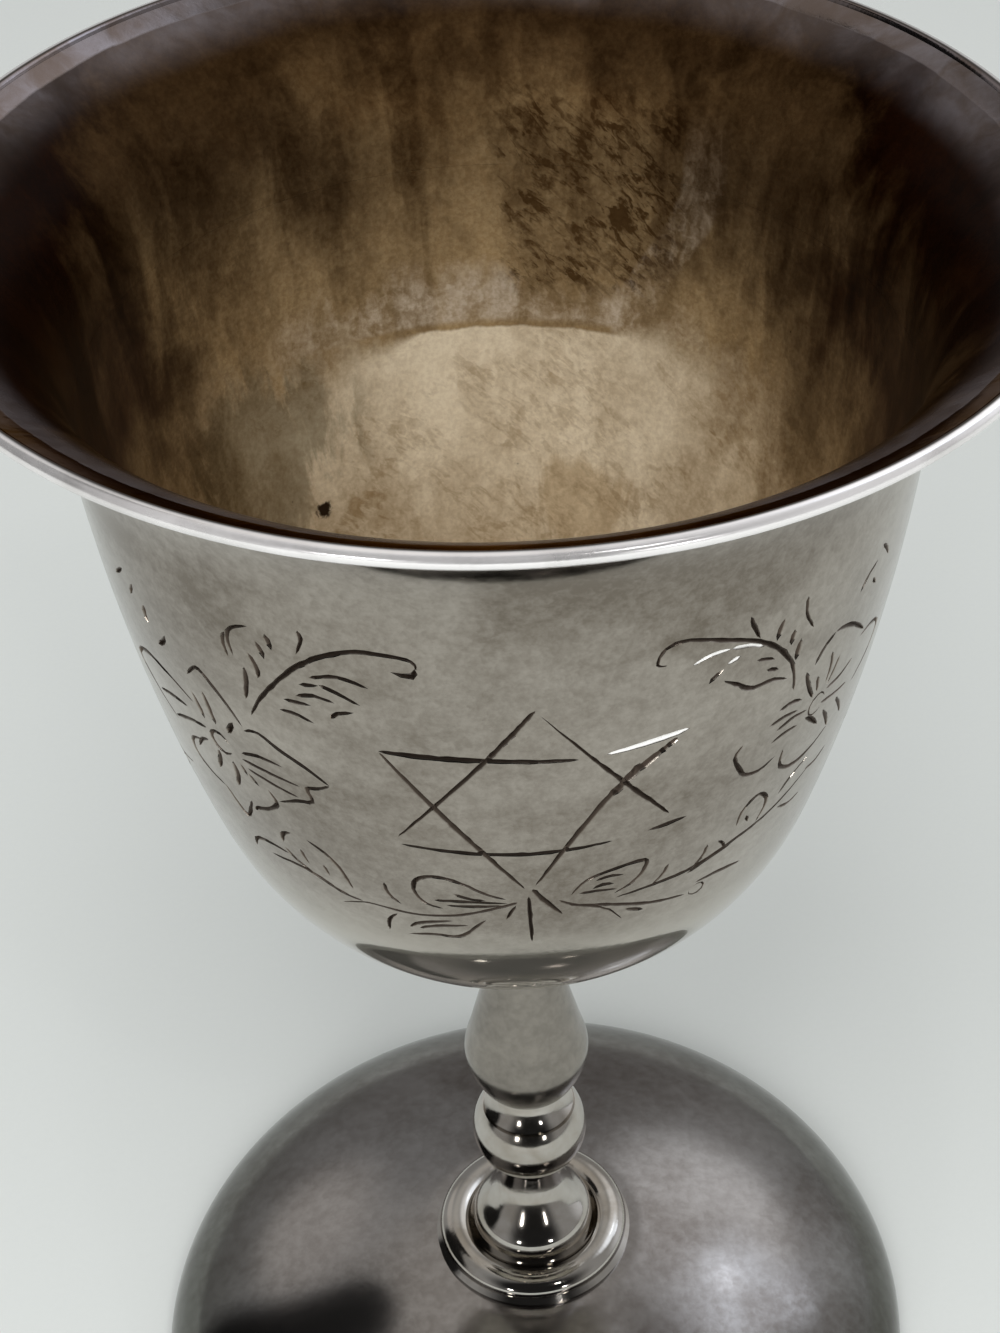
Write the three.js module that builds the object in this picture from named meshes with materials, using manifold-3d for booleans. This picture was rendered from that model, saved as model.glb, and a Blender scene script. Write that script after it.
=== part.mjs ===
// Kiddush cup: a silver goblet for the blessing over wine.
//
// Three pieces soldered one on another: a raised bowl with an everted lip, a turned stem with an
// egg, a ball and a collar, and a hollow domed foot that is open beneath. A six-pointed star and
// the main stems of a floral spray are cut into the bowl as shallow V grooves.
//
// Millimetres, +Z up. The origin is the middle of the foot's underside, and the star faces -Y.

import * as THREE from "three";
import { mergeVertices } from "three/addons/utils/BufferGeometryUtils.js";
import Module from "manifold-3d";

// ---- Driving sizes ----------------------------------------------------------------------------

// The lip: a bead round the mouth, and the wall that leans out to meet it.
const LIP_OUTER_RADIUS = 39.3;
const BEAD_RADIUS = 0.55;
const BEAD_CENTRE_HEIGHT = 131.5;
const LIP_LEAN = THREE.MathUtils.degToRad(67);

// The bowl: a round bottom, a nearly straight wall and the flare of the lip.
const BOWL_WALL = 0.8;
const BOTTOM_RADIUS = 25.5;
const BOTTOM_CENTRE_HEIGHT = 91.2;
const BOTTOM_END_ANGLE = THREE.MathUtils.degToRad(74.3);
const WAIST_RADIUS = 30.26;
const WAIST_HEIGHT = 118.2;
const SEAT_RADIUS = 3.6;

// The stem, from the collar on the foot up to the bowl's seat.
const COLLAR_RADIUS = 9.4;
const COLLAR_HEIGHT = 17.6;
const BALL_RADIUS = 5.46;
const BALL_HEIGHT = 33.3;
const EGG_RADIUS = 5.75;
const EGG_HEIGHT = 44.8;

// The foot: an elliptical dome of sheet with its edge turned in beneath.
const FOOT_RADIUS = 38.6;
const FOOT_DOME_HEIGHT = 17.05;
const FOOT_SEAT_HEIGHT = 16.4;
const FOOT_WALL = 0.8;
const BEARING_INNER_RADIUS = 35.9;
const BEARING_THICKNESS = 1.1;
const EDGE_ROUNDING = 0.4;

// The engraving: its groove, and the star's size and place on the bowl.
const GROOVE_WIDTH = 0.5;
const GROOVE_DEPTH = 0.28;
const GROOVE_CLEARANCE = 0.3;
const STATION_SPACING = 2.2;
const STAR_RADIUS = 9.7;
const STAR_OVERSHOOT = 1.3;
const STAR_HEIGHT = 102.95;
const ENGRAVING_RADIUS = 28.6;

// Sides of each turned piece.
const BOWL_SIDES = 56;
const STEM_SIDES = 28;
const FOOT_SIDES = 56;

// ---- Solids -----------------------------------------------------------------------------------

const wasm = await Module();
wasm.setup();

/** A profile of [radius, height] points turned about the Z axis into a closed solid. */
function turned(profile, sides) {
  const geometry = new THREE.LatheGeometry(profile, sides);
  geometry.rotateX(Math.PI / 2);
  return solidFrom(geometry);
}

/** A manifold solid of a closed geometry, with shared vertices merged and slivers dropped. */
function solidFrom(geometry) {
  geometry.deleteAttribute("normal");
  geometry.deleteAttribute("uv");
  const merged = mergeVertices(geometry);
  const corners = [];
  for (let i = 0; i < merged.index.count; i += 3) {
    const [a, b, c] = [0, 1, 2].map((k) => merged.index.getX(i + k));
    if (a !== b && b !== c && c !== a) corners.push(a, b, c);
  }
  return new wasm.Manifold(new wasm.Mesh({
    numProp: 3,
    vertProperties: new Float32Array(merged.attributes.position.array),
    triVerts: new Uint32Array(corners),
  }));
}

/** A named mesh of a manifold solid in its own metal. */
function meshOf(name, solid, material) {
  const { vertProperties, triVerts } = solid.getMesh();
  const geometry = new THREE.BufferGeometry();
  geometry.setAttribute("position", new THREE.BufferAttribute(vertProperties, 3));
  geometry.setIndex(new THREE.BufferAttribute(triVerts, 1));
  geometry.computeVertexNormals();
  const mesh = new THREE.Mesh(geometry, material);
  mesh.name = name;
  return mesh;
}

/** Points along a plane curve, each moved sideways by the distance, to the left of its travel. */
function pointsBeside(curve, pieces, distance) {
  return Array.from({ length: pieces + 1 }, (_, i) => {
    const at = curve.getPoint(i / pieces);
    const along = curve.getTangent(i / pieces);
    return new THREE.Vector2(at.x - along.y * distance, at.y + along.x * distance);
  });
}

/** An arc of an ellipse about [x, y], from one angle to another, both in radians. */
function arc(x, y, radiusX, radiusY, from, to) {
  return new THREE.EllipseCurve(x, y, radiusX, radiusY, from, to, to < from);
}

// ---- The bowl's outline -----------------------------------------------------------------------

const seatAngle = Math.asin(SEAT_RADIUS / BOTTOM_RADIUS);
const bottomArc = arc(
  0, BOTTOM_CENTRE_HEIGHT, BOTTOM_RADIUS, BOTTOM_RADIUS,
  seatAngle - Math.PI / 2, BOTTOM_END_ANGLE - Math.PI / 2,
);
const seatHeight = bottomArc.getPoint(0).y;

const wallStart = bottomArc.getPoint(1);
const waist = new THREE.Vector2(WAIST_RADIUS, WAIST_HEIGHT);
const wallControl = bottomArc.getTangent(1)
  .multiplyScalar(wallStart.distanceTo(waist) / 2)
  .add(wallStart);
const wallCurve = new THREE.QuadraticBezierCurve(wallStart, wallControl, waist);

const beadCentre = new THREE.Vector2(LIP_OUTER_RADIUS - BEAD_RADIUS, BEAD_CENTRE_HEIGHT);
const lipAlong = new THREE.Vector2(Math.sin(LIP_LEAN), Math.cos(LIP_LEAN));
const lipOutward = new THREE.Vector2(Math.cos(LIP_LEAN), -Math.sin(LIP_LEAN));
const beadJoin = Math.acos(BOWL_WALL / 2 / BEAD_RADIUS);

/** Where the wall's outside (side 1) or inside (side -1) runs into the bead. */
function lipJoin(side) {
  return beadCentre.clone()
    .addScaledVector(lipOutward, side * BOWL_WALL / 2)
    .addScaledVector(lipAlong, -BEAD_RADIUS * Math.sin(beadJoin));
}

/** The flare from the waist out to the lip: it leaves the wall and meets the lip tangentially. */
function flareCurve() {
  const end = lipJoin(1);
  const up = wallCurve.getTangent(1);
  const across = up.x * lipAlong.y - up.y * lipAlong.x;
  const reach = ((end.x - waist.x) * lipAlong.y - (end.y - waist.y) * lipAlong.x) / across;
  const control = waist.clone().addScaledVector(up, reach);
  return new THREE.QuadraticBezierCurve(waist, control, end);
}

/** The bead's own arc, from the wall's outside round and over to its inside. */
function beadArc() {
  const towardsWall = Math.atan2(-lipAlong.y, -lipAlong.x) + 2 * Math.PI;
  const halfGap = Math.PI / 2 - beadJoin;
  return arc(
    beadCentre.x, beadCentre.y, BEAD_RADIUS, BEAD_RADIUS,
    towardsWall + halfGap - 2 * Math.PI, towardsWall - halfGap,
  );
}

/** The whole profile of the bowl: up the outside, over the bead and down the inside. */
function bowlProfile() {
  const flare = flareCurve();
  const innerBottom = arc(
    0, BOTTOM_CENTRE_HEIGHT, BOTTOM_RADIUS - BOWL_WALL, BOTTOM_RADIUS - BOWL_WALL,
    BOTTOM_END_ANGLE - Math.PI / 2, -Math.PI / 2,
  );
  return [
    new THREE.Vector2(0, seatHeight),
    ...bottomArc.getPoints(7),
    ...wallCurve.getPoints(3).slice(1),
    ...flare.getPoints(5).slice(1),
    ...beadArc().getPoints(7).slice(1, -1),
    ...pointsBeside(flare, 4, BOWL_WALL).reverse(),
    ...pointsBeside(wallCurve, 2, BOWL_WALL).reverse().slice(1, -1),
    ...innerBottom.getPoints(5),
  ];
}

// ---- The engraving ----------------------------------------------------------------------------

/** Where the bowl's wall has this height, as a parameter of the wall's curve. */
function wallParameter(height) {
  const { v0, v1, v2 } = wallCurve;
  const a = v0.y - 2 * v1.y + v2.y;
  const b = 2 * (v1.y - v0.y);
  const c = v0.y - height;
  return (-b + Math.sqrt(b * b - 4 * a * c)) / (2 * a);
}

/** The point and the outward normal on the wall, at a distance round from the front. */
function onWall(across, height) {
  const t = wallParameter(height);
  const { x: radius } = wallCurve.getPoint(t);
  const tangent = wallCurve.getTangent(t);
  const angle = across / ENGRAVING_RADIUS;
  const outward = new THREE.Vector3(Math.sin(angle), -Math.cos(angle), 0);
  const point = outward.clone().multiplyScalar(radius).setZ(height);
  const normal = outward.multiplyScalar(tangent.y).setZ(-tangent.x);
  return { point, normal };
}

/** A tapered V-shaped cutter along a plane curve laid on the wall: across and height in mm. */
function grooveCutter(curve) {
  const stations = Math.max(3, Math.ceil(curve.getLength() / STATION_SPACING));
  const positions = [];
  for (let i = 0; i <= stations; i += 1) {
    const t = i / stations;
    const at = curve.getPoint(t);
    const ahead = curve.getTangent(t);
    const { point, normal } = onWall(at.x, at.y);
    const side = onWall(at.x + ahead.x * 0.1, at.y + ahead.y * 0.1).point.sub(point)
      .cross(normal).normalize();
    const fullness = 0.25 + 0.75 * Math.sqrt(Math.sin(Math.PI * t));
    const depth = GROOVE_DEPTH * fullness;
    const spread = GROOVE_WIDTH / 2 * fullness * (1 + GROOVE_CLEARANCE / depth);
    const top = point.clone().addScaledVector(normal, GROOVE_CLEARANCE);
    const corners = [
      top.clone().addScaledVector(side, spread),
      top.clone().addScaledVector(side, -spread),
      point.clone().addScaledVector(normal, -depth),
    ];
    corners.forEach((corner) => positions.push(...corner.toArray()));
  }
  const index = [0, 1, 2];
  for (let i = 0; i < stations; i += 1) {
    for (let k = 0; k < 3; k += 1) {
      const [a, b] = [3 * i + k, 3 * i + (k + 1) % 3];
      index.push(a, a + 3, b, b, a + 3, b + 3);
    }
  }
  const last = 3 * stations;
  index.push(last, last + 2, last + 1);
  const geometry = new THREE.BufferGeometry();
  geometry.setAttribute("position", new THREE.Float32BufferAttribute(positions, 3));
  geometry.setIndex(index);
  return solidFrom(geometry);
}

/** The six straight strokes of the star: two crossed triangles, each stroke a little too long. */
function starStrokes() {
  const corner = (number) => {
    const angle = Math.PI / 2 + number * Math.PI / 3;
    return new THREE.Vector2(Math.cos(angle), Math.sin(angle)).multiplyScalar(STAR_RADIUS)
      .add(new THREE.Vector2(0, STAR_HEIGHT));
  };
  return Array.from({ length: 6 }, (_, i) => {
    const [from, to] = [corner(i), corner(i + 2)];
    const extra = to.clone().sub(from).normalize().multiplyScalar(STAR_OVERSHOOT / 2);
    return new THREE.LineCurve(from.sub(extra), to.add(extra));
  });
}

/** The spray's main stems on one side (1 right, -1 left): a tendril above, a branch below. */
function sprayStems(side) {
  const tendril = new THREE.CubicBezierCurve(
    new THREE.Vector2(side * 19, 107.9),
    new THREE.Vector2(side * 17.5, 113),
    new THREE.Vector2(side * 12.5, 117.8),
    new THREE.Vector2(side * 7.4, 116.4),
  );
  const branch = new THREE.QuadraticBezierCurve(
    new THREE.Vector2(side * 1, 92.4),
    new THREE.Vector2(side * 6, 89.5),
    new THREE.Vector2(side * 14, 89.4),
  );
  return [tendril, branch];
}

// ---- The stem and the foot --------------------------------------------------------------------

/** The stem's profile, from the collar's underside up to the seat under the bowl. */
function stemProfile() {
  const filletRadius = COLLAR_RADIUS + 0.35;
  const collar = arc(COLLAR_RADIUS - 1.8, COLLAR_HEIGHT, 1.8, 1.35, -0.4, 2.4);
  const bell = new THREE.SplineCurve([
    new THREE.Vector2(5.95, 19.1),
    new THREE.Vector2(5.6, 20.6),
    new THREE.Vector2(4.2, 22.4),
    new THREE.Vector2(2.9, 24.6),
    new THREE.Vector2(2.35, 27.2),
  ]);
  const ballUnder = -Math.acos(2.5 / BALL_RADIUS);
  const ballOver = Math.acos(4.4 / BALL_RADIUS);
  const ball = arc(0, BALL_HEIGHT, BALL_RADIUS, BALL_RADIUS, ballUnder, ballOver);
  const egg = new THREE.SplineCurve([
    new THREE.Vector2(2.95, EGG_HEIGHT - 5.6),
    new THREE.Vector2(4.65, EGG_HEIGHT - 3.6),
    new THREE.Vector2(EGG_RADIUS, EGG_HEIGHT),
    new THREE.Vector2(5.0, EGG_HEIGHT + 3.7),
    new THREE.Vector2(4.05, EGG_HEIGHT + 7.7),
    new THREE.Vector2(3.05, EGG_HEIGHT + 12.7),
    new THREE.Vector2(2.75, EGG_HEIGHT + 16.2),
    new THREE.Vector2(SEAT_RADIUS, seatHeight),
  ]);
  return [
    new THREE.Vector2(0, FOOT_SEAT_HEIGHT),
    new THREE.Vector2(filletRadius, FOOT_SEAT_HEIGHT),
    new THREE.Vector2(filletRadius, FOOT_SEAT_HEIGHT + 0.35),
    ...collar.getPoints(6),
    new THREE.Vector2(5.5, 18.35),
    new THREE.Vector2(5.5, 18.8),
    ...bell.getPoints(6),
    ...ball.getPoints(7),
    new THREE.Vector2(4.15, BALL_HEIGHT + 3.2),
    new THREE.Vector2(4.25, BALL_HEIGHT + 3.55),
    new THREE.Vector2(3.3, BALL_HEIGHT + 4.6),
    ...egg.getPoints(11),
    new THREE.Vector2(0, seatHeight),
  ];
}

/** The foot's profile: down over the dome, under the bearing ring and up the inside. */
function footProfile() {
  const start = Math.asin(FOOT_SEAT_HEIGHT / FOOT_DOME_HEIGHT);
  const outer = arc(
    0, 0, FOOT_RADIUS, FOOT_DOME_HEIGHT, Math.asin(EDGE_ROUNDING / FOOT_DOME_HEIGHT), start,
  );
  const innerDome = FOOT_DOME_HEIGHT - FOOT_WALL;
  const innerSeat = FOOT_SEAT_HEIGHT - FOOT_WALL;
  const inner = arc(
    0, 0, FOOT_RADIUS - FOOT_WALL, innerDome,
    Math.asin(innerSeat / innerDome), Math.asin(BEARING_THICKNESS / innerDome),
  );
  return [
    new THREE.Vector2(0, innerSeat),
    ...inner.getPoints(5),
    new THREE.Vector2(BEARING_INNER_RADIUS, BEARING_THICKNESS),
    new THREE.Vector2(BEARING_INNER_RADIUS, 0),
    new THREE.Vector2(FOOT_RADIUS - EDGE_ROUNDING, 0),
    ...outer.getPoints(8),
    new THREE.Vector2(0, FOOT_SEAT_HEIGHT),
  ];
}

// ---- The cup ----------------------------------------------------------------------------------

const satinSilver = new THREE.MeshStandardMaterial({
  color: 0xb8b2a8,
  roughness: 0.3,
  metalness: 1,
});
const brightSilver = new THREE.MeshStandardMaterial({
  color: 0xc4bfb8,
  roughness: 0.16,
  metalness: 1,
});
const tarnishedSilver = new THREE.MeshStandardMaterial({
  color: 0x9c958c,
  roughness: 0.28,
  metalness: 1,
});

const strokes = [...starStrokes(), ...sprayStems(1), ...sprayStems(-1)];
const bowl = strokes.reduce(
  (solid, stroke) => solid.subtract(grooveCutter(stroke)),
  turned(bowlProfile(), BOWL_SIDES),
);

const cup = new THREE.Group();
cup.add(meshOf("foot", turned(footProfile(), FOOT_SIDES), tarnishedSilver));
cup.add(meshOf("stem", turned(stemProfile(), STEM_SIDES), brightSilver));
cup.add(meshOf("bowl", bowl, satinSilver));

export default cup;
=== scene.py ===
"""A silver kiddush cup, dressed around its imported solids.

A raised bowl with an everted lip stands on a turned stem and a hollow domed foot. A six-pointed
star and a spray of flowers are cut into the bowl. Classes hold their sizes in millimetres, which
become metres when a mesh is made.
"""

import logging
import math
import random
from collections.abc import Callable, Iterable, Sequence
from dataclasses import dataclass, field
from enum import Enum

import bmesh
import bpy
from mathutils import Matrix, Vector
from mathutils.geometry import delaunay_2d_cdt


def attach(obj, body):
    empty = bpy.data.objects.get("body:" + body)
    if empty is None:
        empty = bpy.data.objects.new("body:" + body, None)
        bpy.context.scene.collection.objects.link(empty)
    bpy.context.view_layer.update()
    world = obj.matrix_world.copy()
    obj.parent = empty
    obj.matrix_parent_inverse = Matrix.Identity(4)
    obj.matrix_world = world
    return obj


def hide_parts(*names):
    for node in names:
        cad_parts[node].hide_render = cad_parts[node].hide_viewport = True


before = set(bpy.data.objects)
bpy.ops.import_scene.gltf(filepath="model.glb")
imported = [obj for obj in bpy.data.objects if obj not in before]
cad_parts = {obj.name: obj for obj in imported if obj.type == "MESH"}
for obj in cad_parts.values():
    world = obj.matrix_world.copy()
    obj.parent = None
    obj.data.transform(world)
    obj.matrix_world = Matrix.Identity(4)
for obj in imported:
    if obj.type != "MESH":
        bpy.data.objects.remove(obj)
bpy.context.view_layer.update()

MM = 0.001
WELD = 1e-6

Point = tuple[float, float]
Point3 = tuple[float, float, float]
Colour = tuple[float, float, float]
Span = tuple[float, float]
Socket = bpy.types.NodeSocket
Metal = bpy.types.Material
Outputs = bpy.types.bpy_prop_collection

log = logging.getLogger("kiddush_cup")


class Slot(Enum):
    """The record's material slots."""

    ENGRAVED = "engraved_silver"
    POLISHED = "polished_silver"
    TARNISHED = "tarnished_silver"


class Side(Enum):
    """The two sides of the star, as the sign of the distance across."""

    LEFT = -1
    RIGHT = 1


# ---- Plane curves -----------------------------------------------------------------------------


def arc(centre: Point, radii: Point, start: float, end: float, pieces: int) -> list[Point]:
    """Points along an arc of an ellipse.

    Args:
        centre: the ellipse's middle.
        radii: its half widths.
        start: first angle in radians.
        end: last angle in radians.
        pieces: how many steps to take.

    Returns:
        pieces + 1 points.
    """
    angles = [start + (end - start) * i / pieces for i in range(pieces + 1)]
    return [
        (centre[0] + radii[0] * math.cos(a), centre[1] + radii[1] * math.sin(a)) for a in angles
    ]


def bezier(start: Point, control: Point, end: Point, pieces: int) -> list[Point]:
    """Points along a quadratic curve.

    Args:
        start: its first point.
        control: the point that it bends towards.
        end: its last point.
        pieces: how many steps to take.

    Returns:
        pieces + 1 points.
    """
    made = []
    for i in range(pieces + 1):
        t = i / pieces
        weights = ((1 - t) ** 2, 2 * t * (1 - t), t * t)
        made.append(
            (
                sum(w * p[0] for w, p in zip(weights, (start, control, end))),
                sum(w * p[1] for w, p in zip(weights, (start, control, end))),
            )
        )
    return made


def spline(points: Sequence[Point], pieces: int) -> list[Point]:
    """Points along a smooth curve that runs through the given ones.

    Args:
        points: two or more points that the curve passes.
        pieces: how many steps to take in all.

    Returns:
        pieces + 1 points.
    """
    last = len(points) - 1
    made = []
    for i in range(pieces + 1):
        place = i / pieces * last
        k = min(int(place), last - 1)
        t = place - k
        p0, p1 = points[max(k - 1, 0)], points[k]
        p2, p3 = points[k + 1], points[min(k + 2, last)]
        made.append(tuple(catmull_rom(p0[c], p1[c], p2[c], p3[c], t) for c in (0, 1)))
    return made


def catmull_rom(p0: float, p1: float, p2: float, p3: float, t: float) -> float:
    """A value between p1 and p2, with the slopes that p0 and p3 give."""
    v1, v2 = (p2 - p0) / 2, (p3 - p1) / 2
    return (2 * p1 - 2 * p2 + v1 + v2) * t**3 + (3 * p2 - 3 * p1 - 2 * v1 - v2) * t**2 + v1 * t + p1


def length_of(points: Sequence[Point]) -> float:
    """The length of a chain of points."""
    return sum(math.dist(a, b) for a, b in zip(points, points[1:]))


def side_normals(points: Sequence[Point]) -> list[Point]:
    """The unit normals to the left of a chain's travel, one at each of its points."""
    made = []
    last = len(points) - 1
    for i in range(last + 1):
        a, b = points[max(i - 1, 0)], points[min(i + 1, last)]
        run = math.dist(a, b) or 1.0
        made.append(((a[1] - b[1]) / run, (b[0] - a[0]) / run))
    return made


# ---- The bowl's outline -----------------------------------------------------------------------


@dataclass
class BowlOutline:
    """The bowl's profile as radius and height: a round bottom, a wall, a flare and a bead."""

    lip_radius: float = 39.3
    bead_radius: float = 0.55
    bead_height: float = 131.5
    lip_lean: float = math.radians(67)
    wall: float = 0.8
    bottom_radius: float = 25.5
    bottom_height: float = 91.2
    bottom_end: float = math.radians(74.3)
    waist: Point = (30.26, 118.2)
    seat_radius: float = 3.6

    def __post_init__(self) -> None:
        """Works out the points where the profile's curves meet."""
        end = self.bottom_end
        self.wall_start: Point = (
            self.bottom_radius * math.sin(end),
            self.bottom_height - self.bottom_radius * math.cos(end),
        )
        reach = math.dist(self.wall_start, self.waist) / 2
        self.wall_control: Point = (
            self.wall_start[0] + reach * math.cos(end),
            self.wall_start[1] + reach * math.sin(end),
        )
        self.bead_centre: Point = (self.lip_radius - self.bead_radius, self.bead_height)
        self.lip_along: Point = (math.sin(self.lip_lean), math.cos(self.lip_lean))
        self.bead_join = math.acos(self.wall / 2 / self.bead_radius)

    @property
    def seat_height(self) -> float:
        """The height of the flat where the stem meets the bowl."""
        return self.bottom_height - math.sqrt(self.bottom_radius**2 - self.seat_radius**2)

    def bottom(self, pieces: int) -> list[Point]:
        """The outside of the round bottom, from the seat up to the wall."""
        start = math.asin(self.seat_radius / self.bottom_radius) - math.pi / 2
        radii = (self.bottom_radius, self.bottom_radius)
        return arc((0, self.bottom_height), radii, start, self.bottom_end - math.pi / 2, pieces)

    def wall_curve(self, pieces: int) -> list[Point]:
        """The outside of the wall, from the round bottom up to the waist."""
        return bezier(self.wall_start, self.wall_control, self.waist, pieces)

    def lip_end(self) -> Point:
        """Where the outside of the flare runs into the bead."""
        outward = (math.cos(self.lip_lean), -math.sin(self.lip_lean))
        back = self.bead_radius * math.sin(self.bead_join)
        return (
            self.bead_centre[0] + outward[0] * self.wall / 2 - self.lip_along[0] * back,
            self.bead_centre[1] + outward[1] * self.wall / 2 - self.lip_along[1] * back,
        )

    def flare(self, pieces: int) -> list[Point]:
        """The outside of the flare, tangent to the wall below it and to the lip above."""
        end, along = self.lip_end(), self.lip_along
        up = (self.waist[0] - self.wall_control[0], self.waist[1] - self.wall_control[1])
        across = up[0] * along[1] - up[1] * along[0]
        gap = (end[0] - self.waist[0], end[1] - self.waist[1])
        reach = (gap[0] * along[1] - gap[1] * along[0]) / across
        control = (self.waist[0] + up[0] * reach, self.waist[1] + up[1] * reach)
        return bezier(self.waist, control, end, pieces)

    def bead(self, pieces: int) -> list[Point]:
        """The bead's arc, from the outside of the wall over to its inside."""
        towards_wall = math.atan2(-self.lip_along[1], -self.lip_along[0])
        half_gap = math.pi / 2 - self.bead_join
        radii = (self.bead_radius, self.bead_radius)
        start, end = towards_wall + half_gap, towards_wall + 2 * math.pi - half_gap
        return arc(self.bead_centre, radii, start, end, pieces)

    def inside_of(self, outside: Sequence[Point]) -> list[Point]:
        """The outside's points moved in by the wall and turned round to run down."""
        normals = side_normals(outside)
        moved = [
            (p[0] + n[0] * self.wall, p[1] + n[1] * self.wall) for p, n in zip(outside, normals)
        ]
        return moved[::-1]

    def inner_bottom(self, pieces: int) -> list[Point]:
        """The inside of the round bottom, from the wall down to the axis."""
        radius = self.bottom_radius - self.wall
        start = self.bottom_end - math.pi / 2
        return arc((0, self.bottom_height), (radius, radius), start, -math.pi / 2, pieces)

    def on_wall(self, height: float) -> tuple[float, Point]:
        """The wall at a height.

        Args:
            height: millimetres above the foot's underside.

        Returns:
            The radius there, and the outward normal as radial and upward parts.
        """
        z0, z1, z2 = self.wall_start[1], self.wall_control[1], self.waist[1]
        a, b, c = z0 - 2 * z1 + z2, 2 * (z1 - z0), z0 - height
        t = -c / b if abs(a) < 1e-9 else (-b + math.sqrt(max(b * b - 4 * a * c, 0))) / (2 * a)
        r0, r1, r2 = self.wall_start[0], self.wall_control[0], self.waist[0]
        radius = (1 - t) ** 2 * r0 + 2 * t * (1 - t) * r1 + t * t * r2
        slope_r = 2 * (1 - t) * (r1 - r0) + 2 * t * (r2 - r1)
        slope_z = 2 * (1 - t) * (z1 - z0) + 2 * t * (z2 - z1)
        run = math.hypot(slope_r, slope_z)
        return radius, (slope_z / run, -slope_r / run)


# ---- The engraving ----------------------------------------------------------------------------


@dataclass(frozen=True)
class Cut:
    """One stroke of the graver, laid out flat as distance across and height."""

    path: tuple[Point, ...]
    width: float
    swell: float
    # How far the stroke carries a painted highlight in place of its dark stain, from 0 to 1.
    gleam: float


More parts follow.
